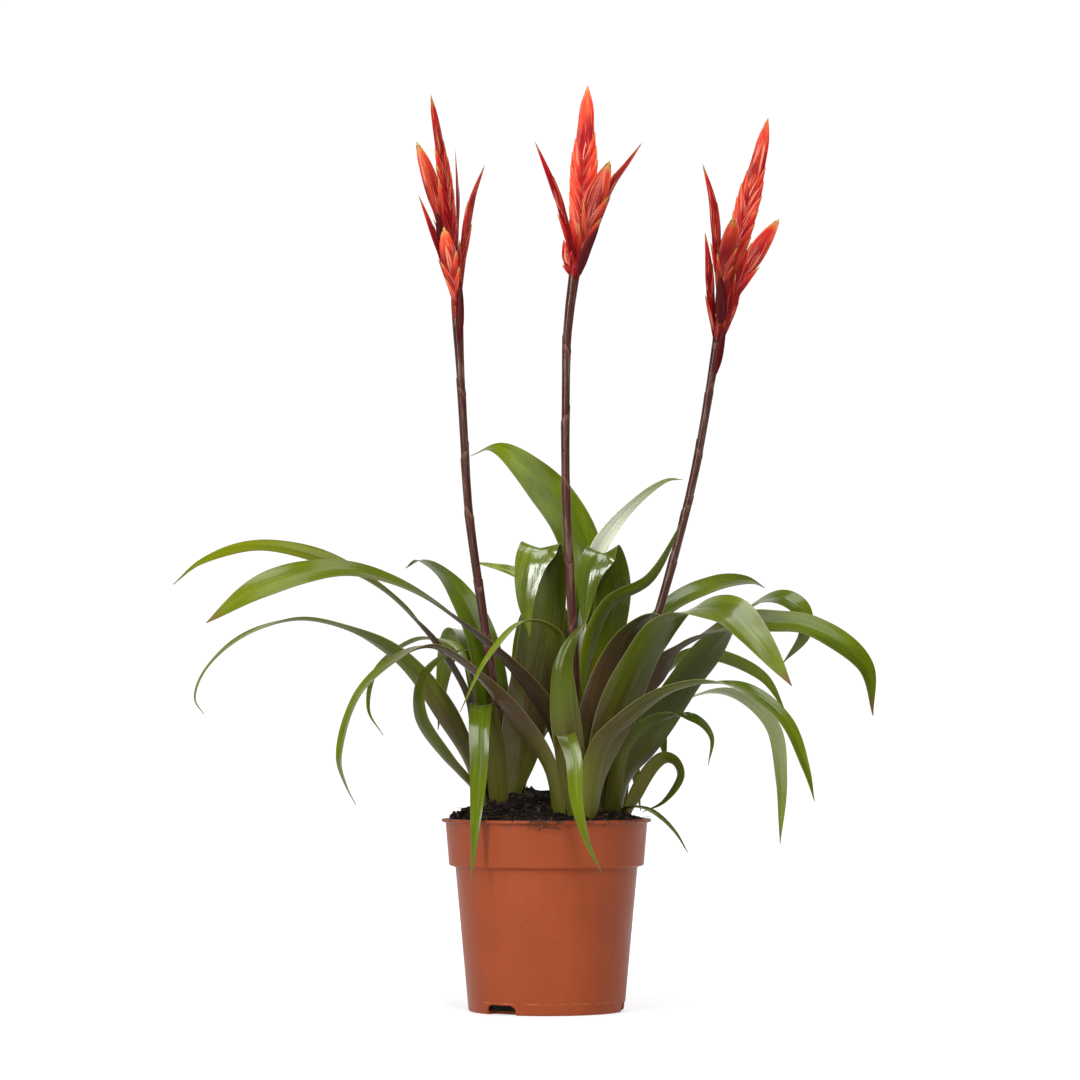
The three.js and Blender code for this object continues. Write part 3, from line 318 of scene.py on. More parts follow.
class Curve:
    """A centripetal Catmull-Rom curve through points, read by place: 0 at its start, 1 at its end."""

    def __init__(self, points, fine=60):
        p = np.array(points, float)
        p = np.vstack([2 * p[0] - p[1], p, 2 * p[-1] - p[-2]])
        t = np.linspace(0, 1, fine, endpoint=False)[:, None]
        pieces = []
        for p0, p1, p2, p3 in zip(p, p[1:], p[2:], p[3:]):
            d0, d1, d2 = (math.sqrt(np.linalg.norm(b - a)) for a, b in ((p0, p1), (p1, p2), (p2, p3)))
            m1 = ((p1 - p0) / d0 - (p2 - p0) / (d0 + d1) + (p2 - p1) / d1) * d1
            m2 = ((p2 - p1) / d1 - (p3 - p1) / (d1 + d2) + (p3 - p2) / d2) * d1
            cubic = 2 * p1 - 2 * p2 + m1 + m2
            square = -3 * p1 + 3 * p2 - 2 * m1 - m2
            pieces.append(p1 + m1 * t + square * t**2 + cubic * t**3)
        self.points = np.vstack([*pieces, p[-2]])
        steps = np.linalg.norm(np.diff(self.points, axis=0), axis=1)
        self.travelled = np.concatenate([[0], np.cumsum(steps)])
        self.length = self.travelled[-1]
        self.tangents = unit(np.gradient(self.points, self.travelled, axis=0))

    def _read(self, rows, place):
        at = np.asarray(place, float) * self.length
        return np.stack([np.interp(at, self.travelled, c) for c in rows.T], axis=-1)

    def at(self, place):
        return self._read(self.points, place)

    def along(self, place):
        return unit(self._read(self.tangents, place))

    def stations(self, count, bend_weight):
        """Places along the curve, closer together where it bends."""
        turns = np.linalg.norm(np.diff(self.tangents, axis=0), axis=1)
        load = np.diff(self.travelled) + bend_weight * turns
        load = np.concatenate([[0], np.cumsum(load)])
        return np.interp(np.linspace(0, load[-1], count), load, self.travelled) / self.length


def profile(stops, place):
    """Smooth values at places from stops of (place, value, value, ...)."""
    rows = Curve(stops, 24).points
    order = np.maximum.accumulate(rows[:, 0])
    return [np.interp(place, order, column) for column in rows.T[1:]]


def sweep(curve, place, x, y, sideways=(1, 0, 0)):
    """Rings of points round a curve: x across it and near to sideways, y square to both.

    place has a row for each ring, and x and y have a column for each point of a ring.
    """
    along = curve.along(place)
    deep = unit(np.cross(along, np.array(sideways, float)))
    return curve.at(place) + np.cross(deep, along) * x[..., None] + deep * y[..., None]


class Pile:
    """Meshes gathered into one object, with per-vertex values that the materials read."""

    def __init__(self, *values):
        self.values = {name: [] for name in values}
        self.verts, self.faces, self.count = [], [], 0

    def add(self, verts, faces, **values):
        verts = np.asarray(verts, float).reshape(-1, 3)
        self.verts.append(verts)
        self.faces.extend([[int(v) + self.count for v in face] for face in faces])
        for name, kept in self.values.items():
            kept.append(np.broadcast_to(np.asarray(values.get(name, 0), float).reshape(-1), (len(verts),)))
        self.count += len(verts)

    def tube(self, rings, **values):
        """A closed skin over rings of points, as an array [ring, point, xyz], with flat ends."""
        n, m = rings.shape[:2]
        i, j = np.arange(n - 1)[:, None] * m, np.arange(m)
        k = (j + 1) % m
        sides = np.stack([i + j, i + k, i + k + m, i + j + m], axis=-1).reshape(-1, 4)
        faces = [*sides, list(range(m))[::-1], list(range((n - 1) * m, n * m))]
        flat = {key: np.broadcast_to(value, (n, m)).reshape(-1) for key, value in values.items()}
        self.add(rings.reshape(-1, 3), faces, **flat)

    def build(self, name, material, sharp=40):
        mesh = bpy.data.meshes.new(name)
        mesh.from_pydata((np.vstack(self.verts) * MM).tolist(), [], self.faces)
        mesh.validate()
        for key, rows in self.values.items():
            mesh.attributes.new(key, "FLOAT", "POINT").data.foreach_set("value", np.concatenate(rows))
        face_out(mesh)
        mesh.shade_smooth()
        mesh.set_sharp_from_angle(angle=math.radians(sharp))
        mesh.materials.append(material)
        return add_object(name, mesh)


def face_out(mesh):
    bm = bmesh.new()
    bm.from_mesh(mesh)
    bmesh.ops.recalc_face_normals(bm, faces=bm.faces)
    bm.to_mesh(mesh)
    bm.free()


def add_object(name, data):
    made = bpy.data.objects.new(name, data)
    bpy.context.collection.objects.link(made)
    return made


def place_piece(obj, slot, *nodes):
    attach(obj, "root")
    if nodes:
        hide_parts(*nodes)


# ------------------------------------------------------------------ materials


class Nodes:
    """A small builder for the nodes of a material or a world."""

    def __init__(self, name, kind="materials", shader="Principled BSDF", **sockets):
        self.owner = getattr(bpy.data, kind).new(name)
        self.owner.use_nodes = True
        self.tree = self.owner.node_tree
        self.shader = self.tree.nodes[shader]
        for key, value in sockets.items():
            self.shader.inputs[key.replace("_", " ")].default_value = value

    def node(self, kind, inputs=(), **settings):
        made = self.tree.nodes.new("ShaderNode" + kind)
        for key, value in settings.items():
            setattr(made, key, value)
        for key, value in dict(inputs).items():
            self.feed(made.inputs[key], value)
        return made

    def feed(self, socket, value):
        if isinstance(value, bpy.types.NodeSocket):
            self.tree.links.new(value, socket)
        else:
            socket.default_value = value

    def values(self, *names):
        return [self.node("Attribute", attribute_name=name).outputs["Fac"] for name in names]

    def math(self, operation, a, b=0.0, clamp=False):
        made = self.node("Math", operation=operation, use_clamp=clamp)
        self.feed(made.inputs[0], a)
        self.feed(made.inputs[1], b)
        return made.outputs[0]

    def times(self, a, b, clamp=False):
        return self.math("MULTIPLY", a, b, clamp)

    def plus(self, a, b):
        return self.math("ADD", a, b)

    def minus(self, a, b):
        return self.math("SUBTRACT", a, b)

    def ramp(self, value, low, high, out_low=0.0, out_high=1.0):
        made = self.node("MapRange", interpolation_type="SMOOTHSTEP")
        for socket, number in zip(made.inputs, (value, low, high, out_low, out_high)):
            self.feed(socket, number)
        return made.outputs[0]

    def mix(self, share, a, b, blend="MIX"):
        made = self.node("Mix", data_type="RGBA", blend_type=blend)
        self.feed(made.inputs[0], share)
        for socket, colour in ((made.inputs[6], a), (made.inputs[7], b)):
            self.feed(socket, (*colour, 1) if isinstance(colour, tuple) else colour)
        return made.outputs[2]

    def scaled(self, colour, factor):
        return self.mix(1.0, colour, self.vector(factor, factor, factor), "MULTIPLY")

    def vector(self, x, y, z):
        return self.node("CombineXYZ", {"X": x, "Y": y, "Z": z}).outputs[0]

    def split(self, vector):
        return self.node("SeparateXYZ", {"Vector": vector}).outputs

    def noise(self, vector, scale, detail=3.0, roughness=0.55):
        inputs = {"Vector": vector, "Scale": scale, "Detail": detail, "Roughness": roughness}
        return self.node("TexNoise", inputs).outputs[0]

    def streaks(self, x, x_scale, y, y_scale, shift, detail=3.0):
        """Noise over two values at a scale each; shift picks another stretch of it."""
        return self.noise(self.vector(self.times(x, x_scale), self.times(y, y_scale), shift), 1.0, detail)

    def coordinates(self, kind="Object"):
        return self.node("TexCoord").outputs[kind]

    def bump(self, height, strength, distance, socket="Normal"):
        made = self.node("Bump", {"Height": height, "Strength": strength, "Distance": distance})
        self.feed(self.shader.inputs[socket], made.outputs[0])

    def finish(self, colour, roughness):
        self.feed(self.shader.inputs["Base Color"], colour)
        self.feed(self.shader.inputs["Roughness"], roughness)
        return self.owner


def leaf_material():
    """Glossy strap leaf: fine lengthwise fibres, purple base, yellower end, dull under side, dry tip."""
    deep, fresh, ripe = (0.044, 0.068, 0.002), (0.092, 0.134, 0.003), (0.19, 0.22, 0.006)
    olive, base, stained = (0.043, 0.045, 0.003), (0.13, 0.115, 0.018), (0.052, 0.027, 0.014)
    margin, painted_sheen, withered = (0.24, 0.20, 0.09), (0.68, 0.69, 0.54), (0.13, 0.06, 0.022)
    n = Nodes("leaf_blade", Specular_IOR_Level=0.05, Coat_Roughness=0.18, Coat_IOR=1.65)
    place, run, side, under, edge, seed = n.values("place", "run", "side", "under", "edge", "seed")
    purple, yellow, bright, dry, gloss = n.values(*LEAF_LOOK)
    shift = n.times(seed, 37.0)
    fibres = n.streaks(side, 0.85, run, 0.02, shift)
    cords = n.streaks(side, 0.45, run, 0.008, shift, 2.0)
    patches = n.streaks(side, 0.07, run, 0.018, shift)

    green = n.mix(n.ramp(patches, 0.35, 0.65), deep, fresh)
    green = n.mix(n.times(n.ramp(place, 0.3, 0.95), yellow, clamp=True), green, ripe)
    green = n.mix(n.times(under, 0.85), green, n.mix(0.65, green, olive))
    green = n.mix(n.ramp(run, 90.0, 35.0, 0.0, 0.5), green, base)
    reach = n.minus(n.times(purple, 1.15), place)
    stain = n.plus(reach, n.times(n.minus(cords, 0.5), 0.5))
    stain = n.times(n.ramp(stain, -0.05, 0.3), n.ramp(run, 30.0, 80.0, 0.1, 1.0))
    stain = n.times(stain, n.plus(0.7, n.times(under, 0.2)), clamp=True)
    colour = n.scaled(n.mix(stain, green, stained), n.ramp(fibres, 0.3, 0.7, 0.88, 1.1))
    # Edges: painted paler towards each margin. This is partly the leaf's own pale edge and partly a painted
    # highlight where the thin edge catches the light.
    colour = n.scaled(n.mix(n.ramp(edge, 0.93, 1.0, 0.0, 0.4), colour, margin), bright)

    # Painted sheen: from a gloss of 1.5 up, a pale cream is painted over the outer part of the leaf in place
    # of the reflection of the light. It fades towards the tip and at one edge. The coat fades away between a
    # gloss of 2 and 3.
    painted_sheen_mask = n.times(n.ramp(gloss, 1.5, 3.0), n.ramp(place, 0.4, 0.5))
    painted_sheen_mask = n.times(painted_sheen_mask, n.ramp(place, 0.95, 0.75, 0.25, 1.0))
    painted_sheen_mask = n.times(painted_sheen_mask, n.ramp(side, -7.0, -4.5, 0.15, 1.0))
    colour = n.mix(n.times(painted_sheen_mask, n.ramp(fibres, 0.3, 0.7, 0.75, 1.0)), colour, painted_sheen)
    brown = n.plus(place, n.times(n.minus(patches, 0.5), 0.12))
    colour = n.mix(n.times(n.ramp(brown, 0.955, 0.99), dry), colour, withered)

    calm = n.ramp(painted_sheen_mask, 0.0, 0.5, 1.0, 0.05)
    ripple = n.streaks(side, 0.3, run, 0.11, shift, 2.0)
    ripple = n.times(n.times(ripple, n.math("POWER", n.math("MINIMUM", gloss, 1.4), 2.0)), calm)
    height = n.times(n.plus(fibres, cords), n.times(calm, 0.6))
    n.bump(n.plus(height, ripple), 0.12, 0.0005)
    n.bump(n.plus(n.times(cords, 0.5), ripple), 0.25, 0.0005, "Coat Normal")
    coat = n.times(gloss, n.ramp(under, 0.0, 1.0, 0.65, 0.2), clamp=True)
    n.feed(n.shader.inputs["Coat Weight"], n.times(coat, n.ramp(gloss, 2.0, 3.0, 1.0, 0.0)))
    return n.finish(colour, n.plus(n.ramp(cords, 0.3, 0.7, 0.26, 0.38), n.times(under, 0.12)))


def spike_material():
    """Waxy flower bracts: crimson to orange, lighter ribs and margins, yellow tips, painted shade at their
    feet.
    """
    crimson, orange, base = (0.38, 0.005, 0.010), (0.57, 0.050, 0.018), (0.17, 0.002, 0.006)
    patch, rib, margin, ripe = (0.68, 0.09, 0.035), (0.85, 0.34, 0.21), (0.82, 0.38, 0.19), (0.45, 0.29, 0.06)
    n = Nodes("flower_bract", Specular_IOR_Level=0.06, Coat_Weight=0.1, Coat_Roughness=0.2, Coat_IOR=1.4)
    tip, side, run, seed = n.values("tip", "side", "run", "seed")
    warm, yellow, bright, rim = n.values("warm", "yellow", "bright", "rim")
    shift = n.times(seed, 41.0)
    fibres = n.streaks(side, 1.1, run, 0.04, shift)
    patches = n.streaks(side, 0.5, run, 0.05, shift, 2.0)
    # Painted shade: base darkens the lower part of each bract, most below a third of its length, where it
    # lies under the next bract. The core and the red collar, given low tip values, take the same dark colour.
    colour = n.mix(n.ramp(tip, 0.35, 0.85, 0.9, 0.0), n.mix(warm, crimson, orange), base)
    colour = n.mix(n.ramp(patches, 0.45, 0.7, 0.0, 0.4), colour, patch)
    colour = n.mix(n.ramp(fibres, 0.55, 0.66, 0.0, 0.5), colour, rib)
    colour = n.mix(n.ramp(rim, 0.65, 1.0, 0.0, 0.65), colour, margin)
    colour = n.mix(n.times(n.ramp(tip, 0.78, 0.98), yellow, clamp=True), colour, ripe)
    n.bump(fibres, 0.3, 0.0003)
    return n.finish(n.scaled(colour, bright), n.ramp(patches, 0.3, 0.7, 0.28, 0.4))


def sheath_material(name, dark, light, green, coat):
    """Papery brown-red sheath with lengthwise fibres, greenish patches and a drier tip."""
    withered = (0.17, 0.08, 0.05)
    n = Nodes(name, Specular_IOR_Level=coat / 3, Coat_Weight=coat, Coat_Roughness=0.15, Coat_IOR=1.4)
    tip, side, run, seed = n.values("tip", "side", "run", "seed")
    shift = n.times(seed, 29.0)
    fibres = n.streaks(side, 3.5, run, 0.05, shift, 4.0)
    patches = n.streaks(side, 0.5, run, 0.05, shift)
    colour = n.mix(n.ramp(fibres, 0.35, 0.7), dark, light)
    colour = n.mix(n.ramp(patches, 0.5, 0.72, 0.0, 0.5), colour, green)
    colour = n.mix(n.ramp(tip, 0.9, 1.0, 0.0, 0.5), colour, withered)
    n.bump(fibres, 0.15, 0.0004)
    return n.finish(colour, n.ramp(patches, 0.3, 0.7, 0.34, 0.52))


def pot_material():
    """Moulded terracotta-coloured plastic: soft sheen, faint streaks, scuffs, a mould seam painted paler as
    its highlight and broken in places, dirt.
    """
    plain, cloudy, streaked = (0.228, 0.041, 0.010), (0.256, 0.048, 0.012), (0.205, 0.036, 0.009)
    scuff, speck, dirty = (0.16, 0.04, 0.018), (0.10, 0.03, 0.016), (0.06, 0.03, 0.018)
    painted_seam_highlight = (0.50, 0.17, 0.08)
    seam_height = 0.0066
    n = Nodes("pot_plastic", Specular_IOR_Level=0.18)
    here = n.coordinates()
    x, y, up = n.split(here)
    turn = n.math("ARCTAN2", y, x)
    cloud = n.noise(here, 28.0, 4.0)
    colour = n.mix(n.ramp(cloud, 0.3, 0.7), plain, cloudy)
    streaks = n.streaks(turn, 9.0, up, 14.0, 0.0)
    colour = n.mix(n.ramp(streaks, 0.4, 0.8, 0.0, 0.3), colour, streaked)
    scratch = n.streaks(turn, 2.5, up, 420.0, 3.0, 2.0)
    scuffed = n.times(n.ramp(scratch, 0.66, 0.72), n.ramp(cloud, 0.48, 0.58))
    colour = n.mix(n.times(scuffed, 0.5), colour, scuff)
    specks = n.ramp(n.noise(here, 330.0, 1.0), 0.765, 0.80)
    colour = n.mix(n.times(specks, 0.5), colour, speck)
    dirt = n.times(n.ramp(up, 0.1035, 0.1095), n.ramp(n.noise(here, 260.0, 5.0), 0.48, 0.62))
    colour = n.mix(n.times(dirt, 0.75), colour, dirty)
    # Mould seam: a thin line round the pot at seam_height, broken in places. The pot has the seam, and its
    # paler colour is a painted highlight along it.
    away = n.math("ABSOLUTE", n.minus(up, seam_height))
    worn = n.ramp(n.noise(n.vector(n.times(turn, 6.0), 0.0, 5.0), 1.0), 0.45, 0.6)
    seam = n.times(n.ramp(away, 0.00035, 0.0001), worn)
    colour = n.mix(n.times(seam, 0.6), colour, painted_seam_highlight)
    n.bump(n.plus(n.noise(here, 2400.0, 2.0), n.times(scratch, 0.6)), 0.12, 0.0002)
    return n.finish(colour, n.ramp(cloud, 0.3, 0.7, 0.38, 0.5))


def soil_material():
    """Damp peat: near black with brown crumbs."""
    black, brown, crumb = (0.002, 0.0014, 0.001), (0.010, 0.006, 0.004), (0.042, 0.025, 0.015)
    n = Nodes("peat", Specular_IOR_Level=0.12)
    here = n.coordinates()
    coarse, fine = n.noise(here, 120.0, 5.0, 0.7), n.noise(here, 700.0, 3.0, 0.7)
    colour = n.mix(n.ramp(coarse, 0.35, 0.7), black, brown)
    colour = n.mix(n.ramp(fine, 0.62, 0.85, 0.0, 0.4), colour, crumb)
    n.bump(n.plus(coarse, n.times(fine, 0.5)), 0.8, 0.0015)
    return n.finish(colour, n.ramp(fine, 0.3, 0.7, 0.55, 0.95))


def crumb_material():
    """Loose crumbs and bits of root, each a little lighter or darker."""
    dark, light, dusty = (0.003, 0.002, 0.0015), (0.055, 0.031, 0.019), (0.08, 0.048, 0.03)
    n = Nodes("peat_crumbs", Specular_IOR_Level=0.15)
    here = n.coordinates()
    colour = n.mix(*n.values("seed"), dark, light)
    colour = n.mix(n.ramp(n.noise(here, 900.0), 0.55, 0.8, 0.0, 0.5), colour, dusty)
    n.bump(n.noise(here, 1200.0), 0.6, 0.0006)
    return n.finish(colour, n.ramp(n.noise(here, 500.0), 0.3, 0.7, 0.6, 0.95))


# ------------------------------------------------------------------ leaves


def leaf_half_width(place, base, half, widest, shoulder):
    grown = lerp(base, half, smooth(place, 0.02, widest))
    q = np.maximum(0, (place - shoulder) / (1 - shoulder))
    return np.maximum(0.55 - 0.4 * smooth(place, 0.93, 1), grown * (1 - q * q) * (1 - 0.2 * q))


def twist_at(stops, place):
    turned = np.zeros_like(place)
    before, at = 0.0, 0.0
    for stop, degrees in stops:
        turned = turned + (degrees - before) * smooth(place, at, stop)
        before, at = degrees, stop
    return np.radians(turned)


def make_leaf(name, material, hub, azimuth, layer, width, look, path,
              wrap=1, keel=0.5, widest=0.3, shoulder=0.5, twist=()):
    """A strap with a trough-shaped section: it clasps at its base and flattens towards its tip."""
    c, s = heading(azimuth)
    clasp = SHEATH.inner + SHEATH.step * layer
    points = []
    for reach, height, *sway in [(clasp, SHEATH.base), (clasp, SHEATH.base + SHEATH.rise), *path]:
        side = sway[0] if sway else 0
        points.append((hub[0] + reach * c - side * s, hub[1] + reach * s + side * c, height))
    spine = Curve(points)
    place = spine.stations(LEAF_RINGS, BLADE.bend_weight)[:, None]
    along = spine.along(place)
    sideways = np.array((-s, c, 0))
    across = unit(sideways - (along @ sideways)[..., None] * along)
    inward = np.cross(along, across)
    roll = twist_at(twist, place)[..., None]

    half = leaf_half_width(place, clasp * SHEATH.angle * wrap, width / 2, widest, shoulder)
    flare = lerp(SHEATH.angle * wrap, keel * (1 - place / 2), smooth(place, 0, 0.25))
    radius = half / flare
    seed = random.random()
    run = place * spine.length
    u = np.linspace(-1, 1, LEAF_STRIPS + 1)
    u, face = np.concatenate([u, u[::-1]]), np.repeat((1, -1), len(u))
    angle = u * flare
    thick = lerp(BLADE.thick, BLADE.edge, np.maximum(u**2, place))
    ripple = BLADE.ripple * u**2 * np.sin(run / BLADE.wave + 20 * seed + 1.5 * u)
    groove = -BLADE.groove * np.exp(-((u / BLADE.groove_width) ** 2))
    depth = radius * (1 - np.cos(angle)) + face * thick / 2 * np.cos(angle)
    depth = depth + smooth(place, 0.1, 0.3) * (ripple + groove) * np.minimum(1, half / 4)
    offset = radius * np.sin(angle) - face * thick / 2 * np.sin(angle)
    rings = spine.at(place) + (across * np.cos(roll) + inward * np.sin(roll)) * offset[..., None]
    rings = rings + (inward * np.cos(roll) - across * np.sin(roll)) * depth[..., None]
    pile = Pile("place", "run", "side", "under", "edge", "seed", *LEAF_LOOK)
    pile.tube(
        rings, place=place, run=run, side=u * half, under=face < 0, edge=np.abs(u), seed=seed,
        **dict(zip(LEAF_LOOK, look)),
    )
    place_piece(pile.build(f"blade_{name}", material, sharp=50), "leaf", f"leaf_{name}")


# ------------------------------------------------------------------ stems and flower heads


def make_stem(name, material, path, sheaths, collar, top):
    """Overlapping tubular sheaths, each swelling to a slanted lip with a short point."""
    curve = Curve(path)
    pile = Pile("tip", "side", "run", "seed")
    turn = full_turn(STEM_SIDES)
    v, swell = np.array(SWELL).T[..., None]
    for i in range(sheaths):
        start, end = collar * i / sheaths, collar * (i + 1) / sheaths
        lip = np.clip(np.cos(turn - (STEM.spiral * i + 0.8)), -1, 1) ** 3
        reach = v * (end - start + STEM.overlap / curve.length)
        slant = STEM.slant * lip * smooth(v, 0.6, 1)
        place = np.clip(start - STEM.tuck + reach + slant, 0, lerp(collar, top, 0.5))
        size = lerp(STEM.foot, STEM.tip, place) + STEM.growth * smooth(place, 0.8, collar) + swell
        size = size + STEM.flutes * np.sin(3 * turn + i)
        rings = sweep(curve, place, size * np.cos(turn), size * np.sin(turn))
        pile.tube(rings, tip=v, side=3 * turn, run=place * curve.length, seed=random.random())
    place_piece(pile.build(f"sheaths_{name}", material, sharp=50), "stem", f"stem_{name}")


def width_share(form, place):
    """How wide a spike of one form is at a place along it, as a share of its widest."""
    return profile(OUTLINES[form], place)[0]


def boat(pile, curve, start, length, half, side, form, sideways, look, stops, point):
    """One boat-shaped bract: keel outwards, its margins wrapped across the axis, its tip free."""
    v = np.linspace(0, 1, BRACT_RINGS)[:, None]
    keel, wide, thick = profile(stops, v)
    place = np.minimum(start + v * length, 1)
    local = half * width_share(form, place)
    turn = full_turn(BRACT_SIDES)
    inner = 1 - 0.5 * (1 + np.cos(turn))
    flank = np.sin(turn) * np.abs(np.sin(turn / 2)) ** 0.7
    offset = side * (keel * local + point * smooth(v, 0.7, 1) - wide * local * inner)
    lift = SPIKE_DEPTH * (thick * local) * flank
    warm, yellow, bright = look
    open_up = smooth(place, 0.05, 0.5)
    pile.tube(
        sweep(curve, place, offset, lift, sideways),
        tip=v, rim=inner**3, side=local * (inner * np.sign(np.sin(turn))), run=place * curve.length,
        seed=random.random(),
        warm=warm * lerp(0.1, 1, open_up), yellow=yellow, bright=bright * lerp(0.8, 1, open_up),
    )


def make_spike(pile, form, width, bracts, turn, look, path):
    """A thin core, bracts up both edges by turns and two closed ones at the tip."""
    curve = Curve(path)
    sideways = (*heading(turn), 0)
    core = np.linspace(0, 0.97, CORE_RINGS)[:, None]
    size = 0.4 * width * width_share(form, core)
    around = full_turn(CORE_SIDES)
    rings = sweep(curve, core, size * np.cos(around), 0.5 * SPIKE_DEPTH * size * np.sin(around), sideways)
    warm, yellow, bright = look
    pile.tube(rings, tip=0.3, seed=0.5, warm=warm, bright=bright)
    rank, point = (TALL, 0.5) if form == "tall" else (SIDE, 0.05 * width)
    length = min(rank.length / curve.length, 0.4)
    for k, end in enumerate(np.linspace(rank.first, rank.last, bracts)):
        side = (k % 2) * 2 - 1
        start = max(0, end - length)
        shade = (warm + random.uniform(-0.12, 0.12), yellow, bright * random.uniform(0.92, 1.08))
        boat(pile, curve, start, end - start, width / 2, side, form, sideways, shade, SCALE, point)
    for side, start in zip((-1, 1), rank.closed):
        boat(pile, curve, start, 1 - start, width / 2, side, form, sideways, look, CLOSED, 0)


def make_shield(pile, width, path):
    """A dark boat-shaped bract that stands under a side spike."""
    curve = Curve(path)
    v = np.linspace(0, 1, BRACT_RINGS)[:, None]
    (size,) = profile(SHIELD, v)
    turn = full_turn(BRACT_SIDES)
    wide = size * width / 2 * np.cos(turn)
    rings = sweep(curve, v, wide, size * width / 4 * np.sin(turn))
    pile.tube(rings, tip=v, side=wide, run=v * curve.length, seed=random.random())


def make_head(name, spike, shield):
    """The red collar round the stem's end, with the spikes and dark bracts that grow from it."""
    collar, top = STEMS[name]["collar"], STEMS[name]["top"]
    pile = Pile("tip", "rim", "side", "run", "seed", "warm", "yellow", "bright")
    axis = Curve(STEMS[name]["path"])
    place = np.linspace(collar, 1, COLLAR_RINGS)[:, None]
    size = np.interp(place, [collar, top, (1 + top) / 2, 1], COLLAR)
    around = full_turn(COLLAR_SIDES)
    fade = smooth(place, collar, lerp(collar, 1, 0.5))
    pile.tube(
        sweep(axis, place, size * np.cos(around), size * np.sin(around)),
        tip=0.2, side=3 * around, run=place * axis.length, seed=0.3,
        warm=0.25 * fade - 0.3, bright=0.3 + 0.6 * fade,
    )
    for row in SPIKES[name]:
        make_spike(pile, *row)
    place_piece(pile.build(f"spikes_{name}", spike, sharp=60), "spike", f"flower_{name}")
    for i, row in enumerate(SHIELDS[name], 1):
        dark = Pile("tip", "side", "run", "seed")
        make_shield(dark, *row)
        place_piece(dark.build(f"shield_{name}_{i}", shield, sharp=60), "bract", f"bract_{name}_{i}")


# ------------------------------------------------------------------ pot and soil


def turned(outline, turn):
    """Rings of points from an outline of (radius, height) turned round the Z axis."""
    radius, height = np.array(outline, float).T[..., None]
    return np.stack([radius * np.cos(turn), radius * np.sin(turn), height + 0 * turn], axis=-1)


def rounded(points, radius):
    """The outline with its corners rounded by arcs that start radius away from each corner."""
    rows = [np.array(p, float) for p in points]
    out = [rows[0]]
    for before, corner, after in zip(rows, rows[1:], rows[2:]):
        edges = (before - corner, after - corner)
        a, b = (corner + unit(edge) * min(radius, 0.45 * np.linalg.norm(edge)) for edge in edges)
        for t in np.linspace(0, 1, POT.corner_points):
            out.append((1 - t) ** 2 * a + 2 * t * (1 - t) * corner + t * t * b)
    out.append(rows[-1])
    return out


def make_pot(material):
    wall, top = POT.wall, POT.height
    band_top, shelf = top - POT.lip_drop, POT.band_z + wall
    floor_radius = lerp(POT.foot, POT.body_top, POT.floor / POT.band_z) - wall
    outline = rounded([
        (0.5, 0), (POT.foot - POT.bevel, 0), (POT.foot, POT.bevel), (POT.body_top, POT.band_z - 1),
        (POT.band_bottom, POT.band_z), (POT.band_top, band_top),
        (POT.lip, band_top + 0.5), (POT.lip, top - 0.3), (POT.lip - 0.3, top),
        (POT.band_top - wall, top), (POT.band_bottom - wall, shelf), (POT.body_top - wall, shelf - 1),
        (floor_radius, POT.floor), (0.5, POT.floor),
    ], POT.corner)
    shell, cutters = Pile("seed"), Pile("seed")
    shell.tube(turned(outline, full_turn(POT.sides)))
    pot = shell.build("pot_shell", material, sharp=POT.sharp)
    arch = [*DRAIN.arch, *((-x, z) for x, z in DRAIN.arch[::-1])]
    for i in range(DRAIN.count):
        c, s = heading(DRAIN.azimuth + 360 / DRAIN.count * i)
        radii = (DRAIN.inner, POT.foot + 3)
        cutters.tube(np.array([[(r * c - x * s, r * s + x * c, z) for x, z in arch] for r in radii]))
    cutter = cutters.build("notch_cutter", material)
    cut = pot.modifiers.new("notches", "BOOLEAN")
    cut.operation, cut.solver, cut.object = "DIFFERENCE", "EXACT", cutter
    apply_modifiers(pot)
    bpy.data.objects.remove(cutter)
    place_piece(pot, "pot", "pot")


def apply_modifiers(obj):
    evaluated = obj.evaluated_get(bpy.context.evaluated_depsgraph_get())
    mesh = bpy.data.meshes.new_from_object(evaluated)
    obj.modifiers.clear()
    old, obj.data = obj.data, mesh
    bpy.data.meshes.remove(old)
    obj.data.set_sharp_from_angle(angle=math.radians(POT.sharp))


def soil_height(x, y):
    mound = SOIL.mound * np.exp(-((np.hypot(x - SOIL.x, y - SOIL.y) / SOIL.reach) ** 2))
    lumps = SOIL.lumps * (np.sin(0.31 * x + 1.3) * np.cos(0.27 * y) + 0.8 * np.sin(0.47 * (x - y)))
    return SOIL.level + mound + lumps - SOIL.rim_drop * smooth(np.hypot(x, y), 40, POT.body_top)


def crumbled(x, y):
    """Soil height with its crumbs, sunk a little so that they stay in the solid's box."""
    rough = 0.0
    for scale, height in ROUGH:
        rough += height * noise.noise(Vector((x * scale, y * scale, 3.7)))
    return float(soil_height(x, y)) + rough - SOIL.sink


def make_soil(material):
    """The pot's filling: its flank follows the inside of the pot, and its top is rough."""
    gap, shelf = POT.wall + SOIL.gap, POT.band_z + POT.wall
    turn = full_turn(SOIL_SIDES)
    flank = [
        (POT.foot - gap, SOIL.foot), (POT.body_top - gap, shelf - 1),
        (POT.band_bottom - gap, shelf + SOIL.gap),
    ]
    surface = turned([(radius, 0) for radius in np.linspace(POT.band_top - gap - 0.2, 0.5, SOIL_RINGS)], turn)
    surface[..., 2] = [[crumbled(x, y) for x, y, _ in ring] for ring in surface]
    pile = Pile("seed")
    pile.tube(np.vstack([turned(flank, turn), surface]))
    place_piece(pile.build("peat_heap", material, sharp=180), "soil", "soil")


